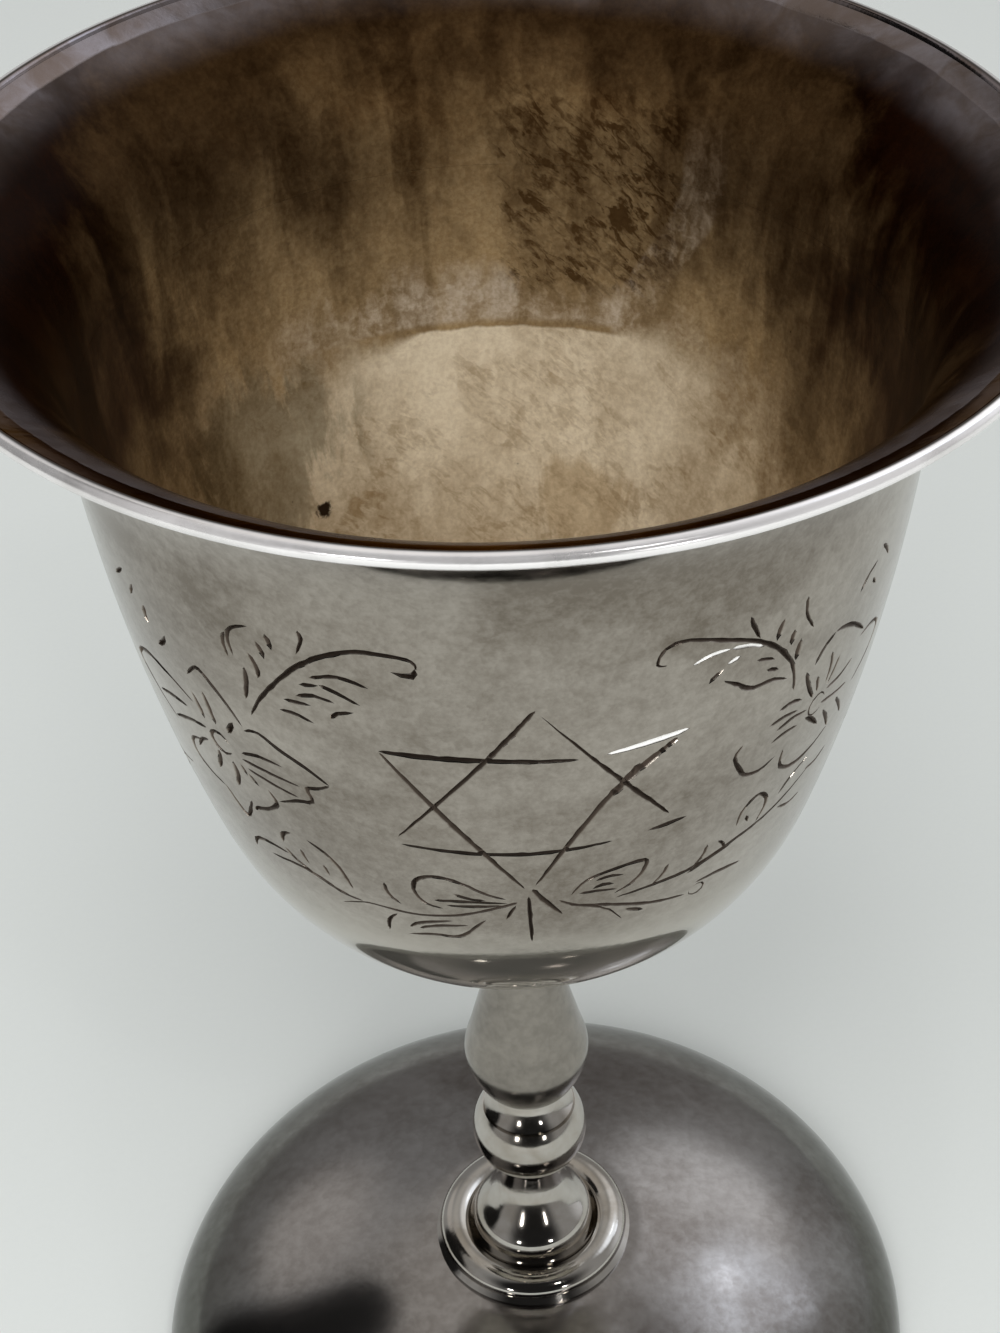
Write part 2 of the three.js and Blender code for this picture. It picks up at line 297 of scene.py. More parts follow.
@dataclass
class Ornament:
    """The star and the sprays, drawn as the strokes that cut them."""

    star_radius: float = 9.7
    star_height: float = 102.95
    star_width: float = 0.54
    line_width: float = 0.43
    hair_width: float = 0.36
    blade_width: float = 0.52
    ring_width: float = 0.22
    cuts: list[Cut] = field(default_factory=list)

    def draw(self) -> list[Cut]:
        """Every stroke of the ornament, the front's and then those that pass out of sight."""
        self.star()
        self.left_tendril()
        self.left_flower()
        self.left_garland()
        self.right_tendril()
        self.right_flower()
        self.right_garland()
        for side in Side:
            self.far_spray(side)
        return self.cuts

    def line(self, *path: Point, width: float = 0, swell: float = 0.5, gleam: float = 0) -> None:
        """Adds one stroke.

        Args:
            path: the points that it passes.
            width: how wide it is where it is widest, or 0 for the usual line.
            swell: where along it that is, from 0 to 1.
            gleam: how far it is free of the dark stain and painted as a bright highlight instead, from 0
                to 1.
        """
        self.cuts.append(Cut(tuple(path), width or self.line_width, swell, gleam))

    def lines(self, *paths: Sequence[Point]) -> None:
        """Adds usual strokes, one for each path."""
        for path in paths:
            self.line(*path)

    def hairs(self, *paths: Sequence[Point], gleam: float = 0) -> None:
        """Adds fine strokes, one for each path."""
        for path in paths:
            self.line(*path, width=self.hair_width, swell=0.4, gleam=gleam)

    def blades(self, *paths: Sequence[Point]) -> None:
        """Adds short broad strokes, one for each path."""
        for path in paths:
            self.line(*path, width=self.blade_width)

    def star(self) -> None:
        """Two crossed triangles of straight strokes, with the starts and ends a hand leaves.

        Each row is a stroke: its share of the star's width, its swell, its gleam and its points.
        """
        r, z = self.star_radius, self.star_height
        bar, half = r / 2, r * math.cos(math.pi / 6)
        for width, swell, gleam, *path in (
            (1.0, 0.4, 0, (-half - 1.5, z + bar + 0.3), (-3.4, z + bar + 0.25), (2.8, z + bar - 0.2)),
            # This bar carries a painted highlight in its cut.
            (1.0, 0.5, 1, (4.6, z + bar - 0.1), (10.2, z + bar + 0.45)),
            (0.85, 0.5, 0, (-half - 1.1, z - bar + 0.2), (-1, z - bar - 0.2), (5.4, z - bar + 0.1)),
            (0.8, 0.5, 0, (8.0, z - bar + 0.3), (11.0, z - bar + 0.55)),
            (0.8, 0.35, 0, (0.1, z + r), (-3.6, z + 4.3), (-half - 1.2, z - bar + 1.0)),
            (0.8, 0.7, 0, (0.4, z + r - 0.5), (4.9, z + 2.9), (half + 1.1, z - bar + 1.6)),
            (1.0, 0.5, 0, (-half - 1.5, z + bar + 0.2), (-5.6, z - 1.9), (-0.9, z - r + 0.4)),
            (1.15, 0.35, 0, (half + 1.0, z + bar - 0.1), (5.0, z + 0.4), (-0.1, z - r + 0.7)),
            (1.2, 0.5, 0, (6.9, z + 3.2), (5.2, z + 0.3)),
            (1.0, 0.3, 0, (-0.3, z - r + 0.3), (0.6, z - r - 1.4), (2.0, z - r - 3.4)),
        ):
            self.line(*path, width=width * self.star_width, swell=swell, gleam=gleam)

    def left_tendril(self) -> None:
        """The stem that curls over the star's left, its comb of hatching and its bud."""
        self.lines(
            (
                (-19.1, 107.8), (-17.9, 110), (-16.2, 112.4), (-14.6, 114.3), (-12.7, 115.9),
                (-10.2, 117), (-7.3, 116.9), (-6.8, 116.1),
            ),
            ((-8.4, 115.7), (-7.1, 115.4), (-6.9, 116.2)),
        )
        self.hairs(
            ((-13.8, 113.7), (-11.8, 114.4), (-9.9, 113.9)), ((-14.6, 112.8), (-13.2, 113.2)),
            ((-13.2, 113.3), (-12.0, 112.9), (-10.6, 112.2)),
            ((-15.0, 111.6), (-13.7, 112.1), (-12.3, 111.9)), ((-16.0, 110.9), (-14.0, 111.1)),
            ((-12.8, 110.3), (-12.2, 111.0), (-11.1, 111.4)),
            ((-16.5, 109.7), (-15.3, 109.8), (-14.0, 109.4)),
        )
        self.blades(
            ((-19.2, 109.3), (-18.8, 111.0), (-18.6, 112.6)),
            ((-17.7, 112.0), (-17.6, 113.0), (-18.1, 114.2)),
            ((-16.8, 114.1), (-17.0, 114.9), (-17.3, 115.6)), ((-16.1, 115.2), (-16.4, 116.5)),
        )
        self.hairs(
            ((-19.3, 113.2), (-19.5, 114.8), (-18.9, 115.9), (-17.6, 116.6)),
            ((-19.8, 112.8), (-20.0, 114.2), (-19.6, 115.2)),
            ((-14.0, 117.7), (-13.9, 116.9), (-14.4, 115.5)),
        )

    def left_flower(self) -> None:
        """The five-petalled flower on the left."""
        self.line(*arc((-23.3, 102.5), (1.0, 1.05), 0.4, 2 * math.pi - 0.5, 6))
        self.lines(
            ((-20.3, 105.6), (-19, 106.1), (-17.3, 105.2), (-15.4, 104.2), (-14.0, 103.1)),
            (
                (-14.0, 103.1), (-15.0, 102.4), (-16.0, 101.9), (-15.8, 100.6), (-17.2, 100.0),
                (-19.0, 98.9),
            ),
        )
        self.hairs(
            ((-21.3, 102.7), (-19.6, 103.4), (-17.6, 103.4)),
            ((-21.5, 102.0), (-19, 102.0), (-16.5, 101.9)),
            ((-21.2, 101.2), (-19, 100.8), (-16.9, 100.5)), ((-21.4, 100.6), (-20.6, 99.6)),
        )
        self.lines(
            ((-19.8, 99.8), (-19.3, 98.5), (-20.4, 97.2), (-21.7, 96.5), (-22.2, 96.0)),
            ((-22.2, 97.0), (-22.9, 95.5), (-23.7, 94.3), (-24.6, 95.6), (-25.2, 96.8)),
            ((-25.9, 101.0), (-27.6, 100.0), (-28.0, 98.4), (-26.9, 97.2), (-25.2, 96.6)),
        )
        self.blades(
            ((-22.7, 101.0), (-22.7, 99.6), (-23.2, 98.0)),
            ((-24.0, 101.3), (-24.3, 100.2), (-24.9, 98.8)),
        )
        self.hairs(
            ((-21.9, 101.3), (-21.5, 100.2)), ((-25.0, 101.7), (-26.1, 100.9), (-27.0, 99.6)),
        )
        self.lines(
            ((-24.6, 103.2), (-26.6, 102.6), (-29.2, 101.2)),
            ((-26.3, 104.1), (-28.3, 103.8), (-30.4, 102.9)),
            (
                (-25.2, 105.3), (-27.6, 106.3), (-30.5, 106.4), (-32.7, 104.6), (-31.2, 102.6),
                (-29.0, 100.8),
            ),
            ((-24.8, 108.3), (-23.7, 109.6), (-22.9, 109.6), (-21.4, 107.9), (-20.3, 106.0)),
        )
        self.blades(
            ((-23.6, 107.5), (-23.4, 106.0), (-23.2, 104.4)),
            ((-25.0, 106.6), (-24.6, 105.4), (-24.4, 104.2)),
            ((-21.2, 105.9), (-21.7, 105.0), (-22.1, 104.3)),
            ((-28.0, 112.4), (-28.3, 111.6), (-28.2, 110.7)),
            ((-27.6, 109.2), (-26.8, 109.9), (-26.2, 110.9)),
        )
        self.hairs(
            ((-29.8, 112.2), (-29.0, 113.6)), ((-31.6, 112.8), (-30.0, 114.3)),
        )

    def left_garland(self) -> None:
        """The branch that leaves the star's foot to the left, with its leaves."""
        self.line(
            (-1.4, 91.9), (-3.2, 91.1), (-6, 90.0), (-9.5, 89.35), (-13.5, 89.4), (-16.2, 88.2),
            width=0.34, swell=0.25,
        )
        self.line(
            (-2.3, 92.3), (-3.8, 93.0), (-5.5, 94.2), (-7.3, 94.8), (-8.8, 94.2), (-9.3, 92.7),
            (-8.6, 91.2), (-7.2, 90.7),
        )
        self.hairs(
            ((-6.3, 92.8), (-5.1, 92.3), (-3.8, 92.1)), ((-7.8, 91.7), (-5.2, 91.9), (-2.2, 91.8)),
            ((-6.9, 91.2), (-4.6, 91.3), (-2.6, 91.5)), ((-1.6, 91.5), (-2.0, 90.5), (-2.4, 89.6)),
            ((-0.6, 92.6), (-0.5, 89.4), (-0.4, 86.3)), ((-11.6, 92.9), (-11.5, 91.5), (-10.6, 90.4)),
            ((-12.4, 86.1), (-12.1, 87.7), (-11.2, 88.9)),
        )
        self.lines(
            ((-4.0, 89.5), (-5.0, 88.2), (-6.3, 86.9), (-8.4, 86.8), (-10.7, 86.2)),
            ((-10.4, 87.3), (-9.2, 88.3), (-6.6, 89.1)),
        )
        self.hairs(((-9.6, 87.4), (-7.8, 88.2), (-5.4, 88.6)))
        self.lines(
            ((-20.3, 93.4), (-20.0, 94.6), (-19.0, 95.3)),
            ((-17.6, 95.3), (-16.2, 94.5), (-15.3, 93.2), (-14.9, 91.9), (-14.6, 90.7)),
        )
        self.hairs(
            ((-18.6, 93.6), (-18.5, 92.8), (-18.2, 91.9)), ((-16.8, 92.8), (-16.5, 91.4)),
            ((-20.4, 92.8), (-19.5, 91.7), (-18.2, 91.0)),
        )
        self.lines(
            ((-24.6, 90.0), (-23.9, 91.4), (-22.2, 92.1), (-20.2, 92.1)),
            ((-22.6, 90.5), (-19.6, 91.0), (-17.6, 90.6), (-15.8, 89.7), (-14.0, 89.4)),
        )

    def right_tendril(self) -> None:
        """The stem that curls over the star's right, with its twigs and hatching."""
        upper = ((14.4, 114.2), (12.1, 115.4), (9.4, 116.5), (8.0, 116.2), (7.6, 115.0), (8.2, 114.8))
        self.line((18.8, 107.0), (18.2, 109.7), (17.1, 111.6), (16.0, 112.9), *upper, swell=0.3)
        self.line((13.8, 116.6), (14.2, 115.5), (14.8, 114.2))
        self.blades(
            ((16.7, 115.0), (16.4, 114.2), (16.2, 113.2)), ((17.7, 113.4), (17.6, 112.0)),
            ((18.5, 112.1), (18.3, 110.2)),
        )
        self.hairs(
            ((18.5, 115.8), (18.7, 114.1), (19.6, 112.4)),
            ((14.7, 112.3), (15.5, 112.0), (16.3, 111.5)), ((15.7, 110.9), (16.8, 110.3)),
            ((11.2, 111.9), (11.6, 112.4), (12.2, 112.8)),
        )
        self.line((12.3, 111.7), (13.4, 110.8), (14.6, 109.8), (16.3, 109.6), (17.8, 108.8))
        # These strokes carry painted highlights in their cuts.
        self.line((9.9, 114.1), (11.2, 114.5), (12.6, 114.4), width=0.32, gleam=1)
        self.line((12.4, 113.1), (13.4, 113.4), width=0.36, gleam=1)
        self.hairs(((12.6, 114.4), (14.0, 114.0), (15.2, 113.3)), gleam=0.4)

    def right_flower(self) -> None:
        """The flower on the right, more lightly cut than the left one."""
        self.line(*arc((22.1, 103.4), (0.9, 1.0), 0.2, 2 * math.pi - 0.8, 6), width=self.ring_width)
        self.lines(
            ((19.8, 108.1), (20.4, 106.4), (21.3, 104.6)),
            ((17.6, 105.7), (18.8, 105.8), (20.0, 105.3)),
            ((14.9, 104.2), (14.3, 103.1), (15.0, 101.4), (15.6, 100.5), (17.0, 100.1), (18.4, 100.6)),
        )
        self.hairs(
            ((17.8, 103.6), (19.4, 103.9), (21.0, 103.6)),
            ((17.6, 102.5), (18.8, 102.8), (20.2, 102.6)),
            ((17.0, 104.6), (18.4, 104.7), (19.8, 104.4)),
        )
        self.lines(
            ((22.4, 110.1), (23.6, 109.8), (25.4, 108.6), (27.0, 107.0)),
            ((20.6, 108.2), (21.3, 109.4), (22.4, 110.1)),
        )
        self.hairs(
            ((21.3, 106.7), (21.5, 105.8), (21.7, 104.9)),
            ((22.5, 108.2), (22.8, 106.8), (22.6, 105.0)),
            ((23.8, 107.0), (23.4, 105.8), (22.9, 104.7)),
            ((22.9, 104.3), (24.6, 104.3), (26.2, 104.9)),
            ((22.6, 103.1), (24.6, 102.6), (26.4, 102.3)),
        )
        self.lines(
            ((21.0, 102.8), (22.0, 101.9), (23.1, 100.6)), ((23.4, 101.8), (24.2, 100.6), (25.1, 98.9)),
            ((25.2, 101.7), (26.2, 100.4), (27.2, 98.7)),
            ((19.2, 100.8), (19.4, 98.9), (20.9, 97.9), (23.0, 98.0), (25.1, 98.9)),
            ((26.6, 106.6), (28.6, 106.4), (30.4, 105.0), (29.8, 102.9), (27.6, 101.4)),
        )
        self.hairs(
            ((27.0, 114.6), (27.8, 113.8), (28.5, 112.7)), ((26.4, 112.1), (27.1, 111.2)),
            ((24.7, 112.0), (25.4, 112.9), (26.6, 113.6)),
        )

    def right_garland(self) -> None:
        """The branch that leaves the star's foot to the right, with its leaves."""
        self.line((1.6, 91.8), (3.0, 90.9), (4.6, 90.2), (5.9, 89.2), (7.0, 87.6), width=0.3, swell=0.3)
        self.lines(
            ((7.1, 88.9), (8.8, 88.1)), ((2.4, 91.0), (5.4, 90.2), (9.2, 88.8), (12.6, 88.0)),
        )
        ring = arc((13.7, 88.1), (0.75, 0.7), 3.0, 3.0 + 2 * math.pi - 0.7, 6)
        self.line(*ring, width=self.ring_width)
        self.lines(
            ((13.4, 89.1), (15.6, 89.1), (18.2, 88.6)),
            ((2.6, 92.2), (3.6, 93.8), (5.4, 94.6), (8.1, 94.9), (8.2, 93.6), (7.4, 92.4), (6.0, 91.5)),
        )
        self.line((4.2, 92.6), (5.0, 93.0), (5.9, 92.8), width=0.4)
        self.hairs(
            ((3.2, 92.3), (4.6, 92.3), (6.2, 92.0)), ((4.4, 93.6), (5.4, 93.9), (6.6, 93.7)),
            ((10.3, 93.4), (9.9, 92.2), (9.0, 91.1)), ((13.6, 93.8), (13.4, 92.6), (12.6, 91.5)),
            ((14.6, 93.6), (15.2, 92.9), (15.6, 91.9)), ((12.2, 91.0), (14.2, 91.8), (16.2, 92.2)),
        )
        self.lines(
            ((6.2, 90.9), (9.0, 91.2), (12.4, 91.5), (16.2, 92.5), (20.0, 93.4), (24.2, 95.2)),
            ((16.2, 94.2), (16.4, 95.9), (17.6, 96.9), (18.7, 96.1), (19.0, 94.7), (18.4, 93.2)),
        )
        self.hairs(
            ((17.0, 95.0), (17.4, 94.0)), ((20.4, 95.0), (21.6, 96.3), (23.2, 97.0)),
            ((21.0, 93.0), (22.6, 92.2), (24.2, 92.3)), ((23.6, 95.3), (25.2, 95.0), (26.6, 95.6)),
        )

    def far_spray(self, side: Side) -> None:
        """A plainer spray past the flower, which runs out before the back.

        Args:
            side: which side of the star it is on.
        """
        s = side.value
        self.petals((s * 44.5, 103.0), 5, 6.4, 0.5 * s)
        for path in (
            ((30.5, 95.0), (35, 93.6), (40, 94.8), (44, 97.4)),
            ((46, 108.2), (49, 112.4), (53.6, 114.4), (57.4, 112.6), (57.0, 110.6)),
        ):
            self.line(*((s * x, z) for x, z in path))
        for i in range(4):
            foot = (s * (33.0 + 3.0 * i), 94.2 + 0.25 * i * i)
            self.leaf(foot, s * (2.2 + 0.1 * i), 2.6 if i % 2 else -2.6)
        for i in range(5):
            x, z = s * (48.6 + 1.3 * i), 111.2 + 0.35 * i
            self.hairs(((x, z), (x + s * 0.9, z - 0.5), (x + s * 2.2, z - 1.4)))
        self.line((s * 49.6, 99.0), (s * 54, 97.0), (s * 59.4, 98.0), (s * 62.4, 101.0))
        for i in range(3):
            self.leaf((s * (53.0 + 2.9 * i), 97.2 + 0.4 * i), s * 2.0, 2.4 if i % 2 else -2.4)

    def petals(self, centre: Point, count: int, reach: float, turn: float) -> None:
        """A flower of notched petals with two veins each, about a small ring.

        Args:
            centre: the flower's middle.
            count: how many petals it has.
            reach: how far they reach.
            turn: the first petal's direction in radians.
        """
        self.line(*arc(centre, (1.0, 1.0), turn, turn + 2 * math.pi - 0.6, 6))
        for i in range(count):
            angle = turn + 2 * math.pi * i / count
            half = 0.8 * math.pi / count

            def at(share: float, swing: float) -> Point:
                """A point of this petal, by its share of the reach and its swing to a side."""
                bearing = angle + swing * half
                return (
                    centre[0] + reach * share * math.cos(bearing),
                    centre[1] + reach * share * math.sin(bearing),
                )

            edge = ((0.3, -0.6), (0.65, -1), (0.93, -0.55), (0.86, 0), (1, 0.35), (0.7, 1), (0.32, 0.7))
            self.line(*(at(*place) for place in edge))
            self.hairs((at(0.26, -0.2), at(0.62, -0.3)), (at(0.26, 0.25), at(0.68, 0.3)))

    def leaf(self, foot: Point, along: float, up: float) -> None:
        """A small leaf with one vein.

        Args:
            foot: where it leaves the branch.
            along: how far it leans along the branch.
            up: how far it rises, or hangs if negative.
        """
        x, z = foot
        edge = ((0, 0), (0.1, 0.6), (1, 1), (0.8, 0.3), (0.25, 0))
        self.line(*((x + a * along, z + u * up) for a, u in edge))
        self.hairs((foot, (x + 0.7 * along, z + 0.65 * up)))


# ---- Mesh making ------------------------------------------------------------------------------


class MeshDraft:
    """Points with their normals and marks, welded by place as they come in."""

    def __init__(self) -> None:
        """Starts with nothing in it."""
        self.points: list[tuple[float, float, float]] = []
        self.normals: list[tuple[float, float, float]] = []
        self.marks: dict[str, list[float]] = {}
        self.faces: list[tuple[int, ...]] = []
        self.inside: list[bool] = []
        self.places: dict[tuple[int, int, int], int] = {}

    def point(self, place: Vector, normal: Vector, **marks: float) -> int:
        """Adds a point, unless one is there already.

        Args:
            place: where it is, in metres.
            normal: the surface's normal there.
            marks: values to keep with it.

        Returns:
            Its number.
        """
        key = tuple(round(c / WELD) for c in place)
        if key not in self.places:
            self.places[key] = len(self.points)
            self.points.append(tuple(place))
            self.normals.append(tuple(normal))
            for name, value in marks.items():
                kept = self.marks.setdefault(name, [])
                kept.extend([0.0] * (len(self.points) - 1 - len(kept)))
                kept.append(value)
        return self.places[key]

    def face(self, corners: Iterable[int], inside: bool = False) -> None:
        """Adds a face, less the corners that the weld has closed."""
        kept = []
        for corner in corners:
            if corner not in kept:
                kept.append(corner)
        if len(kept) > 2:
            self.faces.append(tuple(kept))
            self.inside.append(inside)

    def rows(self, outline: Sequence[Point], sides: int, inside: bool = False) -> None:
        """Turns an outline about the axis, as rows of quads.

        Args:
            outline: radius and height, with the metal on the left of its travel.
            sides: how many sides the turned form has.
            inside: whether its faces are inside the vessel.
        """
        normals = side_normals(outline)
        grid = []
        for (radius, height), (nr, nz) in zip(outline, normals):
            row = []
            for k in range(sides):
                a = 2 * math.pi * k / sides
                out = Vector((math.sin(a), -math.cos(a), 0))
                place = (out * radius + Vector((0, 0, height))) * MM
                row.append(self.point(place, Vector((0, 0, -nz)) - out * nr))
            grid.append(row)
        for low, high in zip(grid, grid[1:]):
            for k in range(sides):
                j = (k + 1) % sides
                self.face((low[k], low[j], high[j], high[k]), inside)

    def mesh(self, name: str) -> bpy.types.Mesh:
        """The draft as a mesh, with its marks as attributes."""
        mesh = bpy.data.meshes.new(name)
        mesh.from_pydata(self.points, [], self.faces)
        for mark, values in self.marks.items():
            values.extend([0.0] * (len(self.points) - len(values)))
            mesh.attributes.new(mark, "FLOAT", "POINT").data.foreach_set("value", values)
        outward = mesh.attributes.new("outward", "FLOAT_VECTOR", "POINT")
        outward.data.foreach_set("vector", [c for normal in self.normals for c in normal])
        mesh.attributes.new("inside", "BOOLEAN", "FACE").data.foreach_set("value", self.inside)
        return mesh


def link_object(name: str, data: bpy.types.ID) -> bpy.types.Object:
    """A new object in the scene, with the data given."""
    made = bpy.data.objects.new(name, data)
    bpy.context.scene.collection.objects.link(made)
    return made


# ---- Node helpers -----------------------------------------------------------------------------


class Level:
    """A number that varies from place to place, whose arithmetic places Math nodes."""

    def __init__(self, desk: "NodeDesk", socket: Socket) -> None:
        """Takes the desk to work on and the socket that gives the number."""
        self.desk = desk
        self.socket = socket

    def maths(self, operation: str, *values: object) -> "Level":
        """The result of a Math node on the values."""
        node = self.desk.add("ShaderNodeMath", dict(enumerate(values)), operation=operation)
        return Level(self.desk, node.outputs[0])

    def __add__(self, other: object) -> "Level":
        """This and the other together."""
        return self.maths("ADD", self, other)

    def __sub__(self, other: object) -> "Level":
        """This less the other."""
        return self.maths("SUBTRACT", self, other)

    def __rsub__(self, other: float) -> "Level":
        """The other less this."""
        return self.maths("SUBTRACT", other, self)

    def __mul__(self, other: object) -> "Level":
        """This times the other."""
        return self.maths("MULTIPLY", self, other)

    def __truediv__(self, other: object) -> "Level":
        """This over the other."""
        return self.maths("DIVIDE", self, other)

    def __abs__(self) -> "Level":
        """This without its sign."""
        return self.maths("ABSOLUTE", self)

    def most(self, other: object) -> "Level":
        """The greater of this and the other."""
        return self.maths("MAXIMUM", self, other)

    def clamped(self) -> "Level":
        """This, kept between 0 and 1 by the node that gives it."""
        self.socket.node.use_clamp = True
        return self

    def span(self, low: object, high: object, to_low: float = 0.0, to_high: float = 1.0) -> "Level":
        """This, brought smoothly from one range to another."""
        inputs = {"Value": self, "From Min": low, "From Max": high, "To Min": to_low, "To Max": to_high}
        node = self.desk.add("ShaderNodeMapRange", inputs, interpolation_type="SMOOTHSTEP")
        return Level(self.desk, node.outputs["Result"])

    def between(self, rise: Span, fall: Span) -> "Level":
        """One where this lies between a smooth rise and a smooth fall, and nought outside them."""
        return self.span(*rise) * self.span(*fall)


class NodeDesk:
    """A node tree with short ways to place and join nodes."""

    def __init__(self, tree: bpy.types.NodeTree) -> None:
        """Takes the tree to work on."""
        self.tree = tree

    def add(self, kind: str, inputs: dict | None = None, **settings: object) -> bpy.types.Node:
        """Places a node.

        Args:
            kind: the node's type name.
            inputs: values, levels or sockets for its inputs, by name or number.
            settings: its own properties.

        Returns:
            The node.
        """
        node = self.tree.nodes.new(kind)
        for name, value in settings.items():
            setattr(node, name, value)
        for name, value in (inputs or {}).items():
            self.feed(value, node.inputs[name])
        return node

    def feed(self, value: object, socket: Socket) -> None:
        """Links a level or a socket to a socket, or sets its value."""
        if isinstance(value, Level):
            value = value.socket
        if isinstance(value, Socket):
            self.tree.links.new(value, socket)
        else:
            socket.default_value = value

    def level(self, socket: Socket) -> Level:
        """A socket's number, ready for arithmetic."""
        return Level(self, socket)

    def axes(self, vector: object) -> list[Level]:
        """The three parts of a vector."""
        parts = self.add("ShaderNodeSeparateXYZ", {0: vector}).outputs
        return [Level(self, part) for part in parts]

    def vector(self, operation: str, *values: object) -> Socket:
        """The vector that a Vector Math node makes of the values."""
        node = self.add("ShaderNodeVectorMath", dict(enumerate(values)), operation=operation)
        return node.outputs["Vector"]

    def measure(self, operation: str, *values: object) -> Level:
        """The number that a Vector Math node makes of the values."""
        node = self.add("ShaderNodeVectorMath", dict(enumerate(values)), operation=operation)
        return Level(self, node.outputs["Value"])

    def scaled(self, vector: object, by: object) -> Socket:
        """A vector made longer or shorter."""
        node = self.add("ShaderNodeVectorMath", {0: vector, "Scale": by}, operation="SCALE")
        return node.outputs["Vector"]

    def blend(self, share: object, a: object, b: object, mode: str = "MIX") -> Socket:
        """Two colours mixed by a share."""
        node = self.add("ShaderNodeMix", data_type="RGBA", blend_type=mode)
        self.feed(share, node.inputs[0])
        for number, value in ((6, a), (7, b)):
            self.feed(rgba(value) if isinstance(value, tuple) else value, node.inputs[number])
        return node.outputs[2]

    def noise(self, vector: object, scale: object, detail: float, rough: float = 0.55) -> Level:
        """The value of a noise texture."""
        inputs = {"Vector": vector, "Scale": scale, "Detail": detail, "Roughness": rough}
        return Level(self, self.add("ShaderNodeTexNoise", inputs).outputs["Fac"])

    def through(self, kind: str, geometry: object, **inputs: object) -> Socket:
        """Passes a geometry through a node and gives what comes out."""
        return self.add(kind, {"Geometry": geometry, **inputs}).outputs[0]


def rgba(colour: Colour) -> tuple[float, float, float, float]:
    """A colour with full alpha."""
    return (*colour, 1.0)


# ---- Geometry trees ---------------------------------------------------------------------------


class GeometryTree:
    """A geometry node tree that makes a piece out of a plain mesh."""

    name = ""
    inputs: dict[str, str] = {}

    def __init__(self) -> None:
        """Builds the tree once, with its named inputs."""
        self.tree = bpy.data.node_groups.new(self.name, "GeometryNodeTree")
        face = self.tree.interface
        face.new_socket("Mesh", in_out="INPUT", socket_type="NodeSocketGeometry")
        self.sockets = {
            key: face.new_socket(key, in_out="INPUT", socket_type="NodeSocket" + kind)
            for key, kind in self.inputs.items()
        }
        face.new_socket("Piece", in_out="OUTPUT", socket_type="NodeSocketGeometry")
        desk = NodeDesk(self.tree)
        desk.add("NodeGroupOutput", {"Piece": self.shape(desk, desk.add("NodeGroupInput").outputs)})

    def shape(self, desk: NodeDesk, given: Outputs) -> Socket:
        """Lays out the nodes between the tree's inputs and the piece that comes out."""
        raise NotImplementedError

    def run(self, name: str, mesh: bpy.types.Mesh, **values: object) -> bpy.types.Object:
        """Passes a mesh through the tree.

        Args:
            name: the name of the piece that it becomes.
            mesh: what goes in, which is used up.
            values: the tree's named inputs.

        Returns:
            The piece as a plain mesh object, at the origin and without modifiers.
        """
        source = link_object(mesh.name, mesh)
        modifier = source.modifiers.new(self.name, "NODES")
        modifier.node_group = self.tree
        for key, value in values.items():
            modifier[self.sockets[key].identifier] = value
        bpy.context.view_layer.update()
        graph = bpy.context.evaluated_depsgraph_get()
        made = bpy.data.meshes.new_from_object(source.evaluated_get(graph), depsgraph=graph)
        bpy.data.objects.remove(source)
        bpy.data.meshes.remove(mesh)
        made.name = name
        return link_object(name, made)


class TurningTree(GeometryTree):
    """Turns the profile that it is given, a chain of points in the XZ plane, about the Z axis."""

    name = "turned_piece"
    inputs = {"Sides": "Int", "Metal": "Material"}
    crease = math.radians(35)

    def shape(self, desk: NodeDesk, given: Outputs) -> Socket:
        """Wraps a grid round the axis, with one row for each point of the profile."""
        size = desk.add("GeometryNodeAttributeDomainSize", {"Geometry": given["Mesh"]}, component="MESH")
        rows = desk.level(size.outputs["Point Count"])
        columns = desk.level(given["Sides"]) + 1.0
        sizes = {"Size X": 1.0, "Size Y": 1.0, "Vertices X": columns, "Vertices Y": rows}
        grid = desk.add("GeometryNodeMeshGrid", sizes)
        place = desk.add("GeometryNodeInputPosition").outputs[0]
        along, up, _ = desk.axes(place)
        row = (up + 0.5) * (rows - 1.0)
        row = row.maths("ROUND", row)
        picked = {"Geometry": given["Mesh"], "Value": place, "Index": row}
        point = desk.add("GeometryNodeSampleIndex", picked, data_type="FLOAT_VECTOR", domain="POINT")
        turn = {"Vector": point.outputs[0], "Angle": (along + 0.5) * (2 * math.pi)}
        turned = desk.add("ShaderNodeVectorRotate", turn, rotation_type="Z_AXIS").outputs[0]
        made = desk.through("GeometryNodeSetPosition", grid.outputs["Mesh"], Position=turned)
        made = desk.through("GeometryNodeMergeByDistance", made, Distance=WELD)
        made = desk.through("GeometryNodeSetShadeSmooth", made)
        made = desk.through("GeometryNodeRealizeInstances", made)
        return desk.through("GeometryNodeSetMaterial", made, Material=given["Metal"])

    def turn(
        self, name: str, profile: Sequence[Point], sides: int, metal: Metal
    ) -> bpy.types.Object:
        """Makes a turned piece.

        Args:
            name: the piece's name.
            profile: radius and height in millimetres, from the axis round to the axis.
            sides: how many sides it has.
            metal: its material.

        Returns:
            The piece as a plain mesh object, smooth but for its sharp edges.
        """
        mesh = bpy.data.meshes.new(name + "_profile")
        points = [(radius * MM, 0.0, height * MM) for radius, height in profile]
        mesh.from_pydata(points, [(i, i + 1) for i in range(len(points) - 1)], [])
        piece = self.run(name, mesh, Sides=sides, Metal=metal)
        self.face_outwards(piece.data)
        piece.data.set_sharp_from_angle(angle=self.crease)
        log.info("%s: %d faces", name, len(piece.data.polygons))
        return piece

    @staticmethod
    def face_outwards(mesh: bpy.types.Mesh) -> None:
        """Recalculates the normals of a closed mesh so that they all point out."""
        work = bmesh.new()
        work.from_mesh(mesh)
        bmesh.ops.remove_doubles(work, verts=work.verts, dist=WELD)
        bmesh.ops.recalc_face_normals(work, faces=work.faces)
        work.to_mesh(mesh)
        work.free()


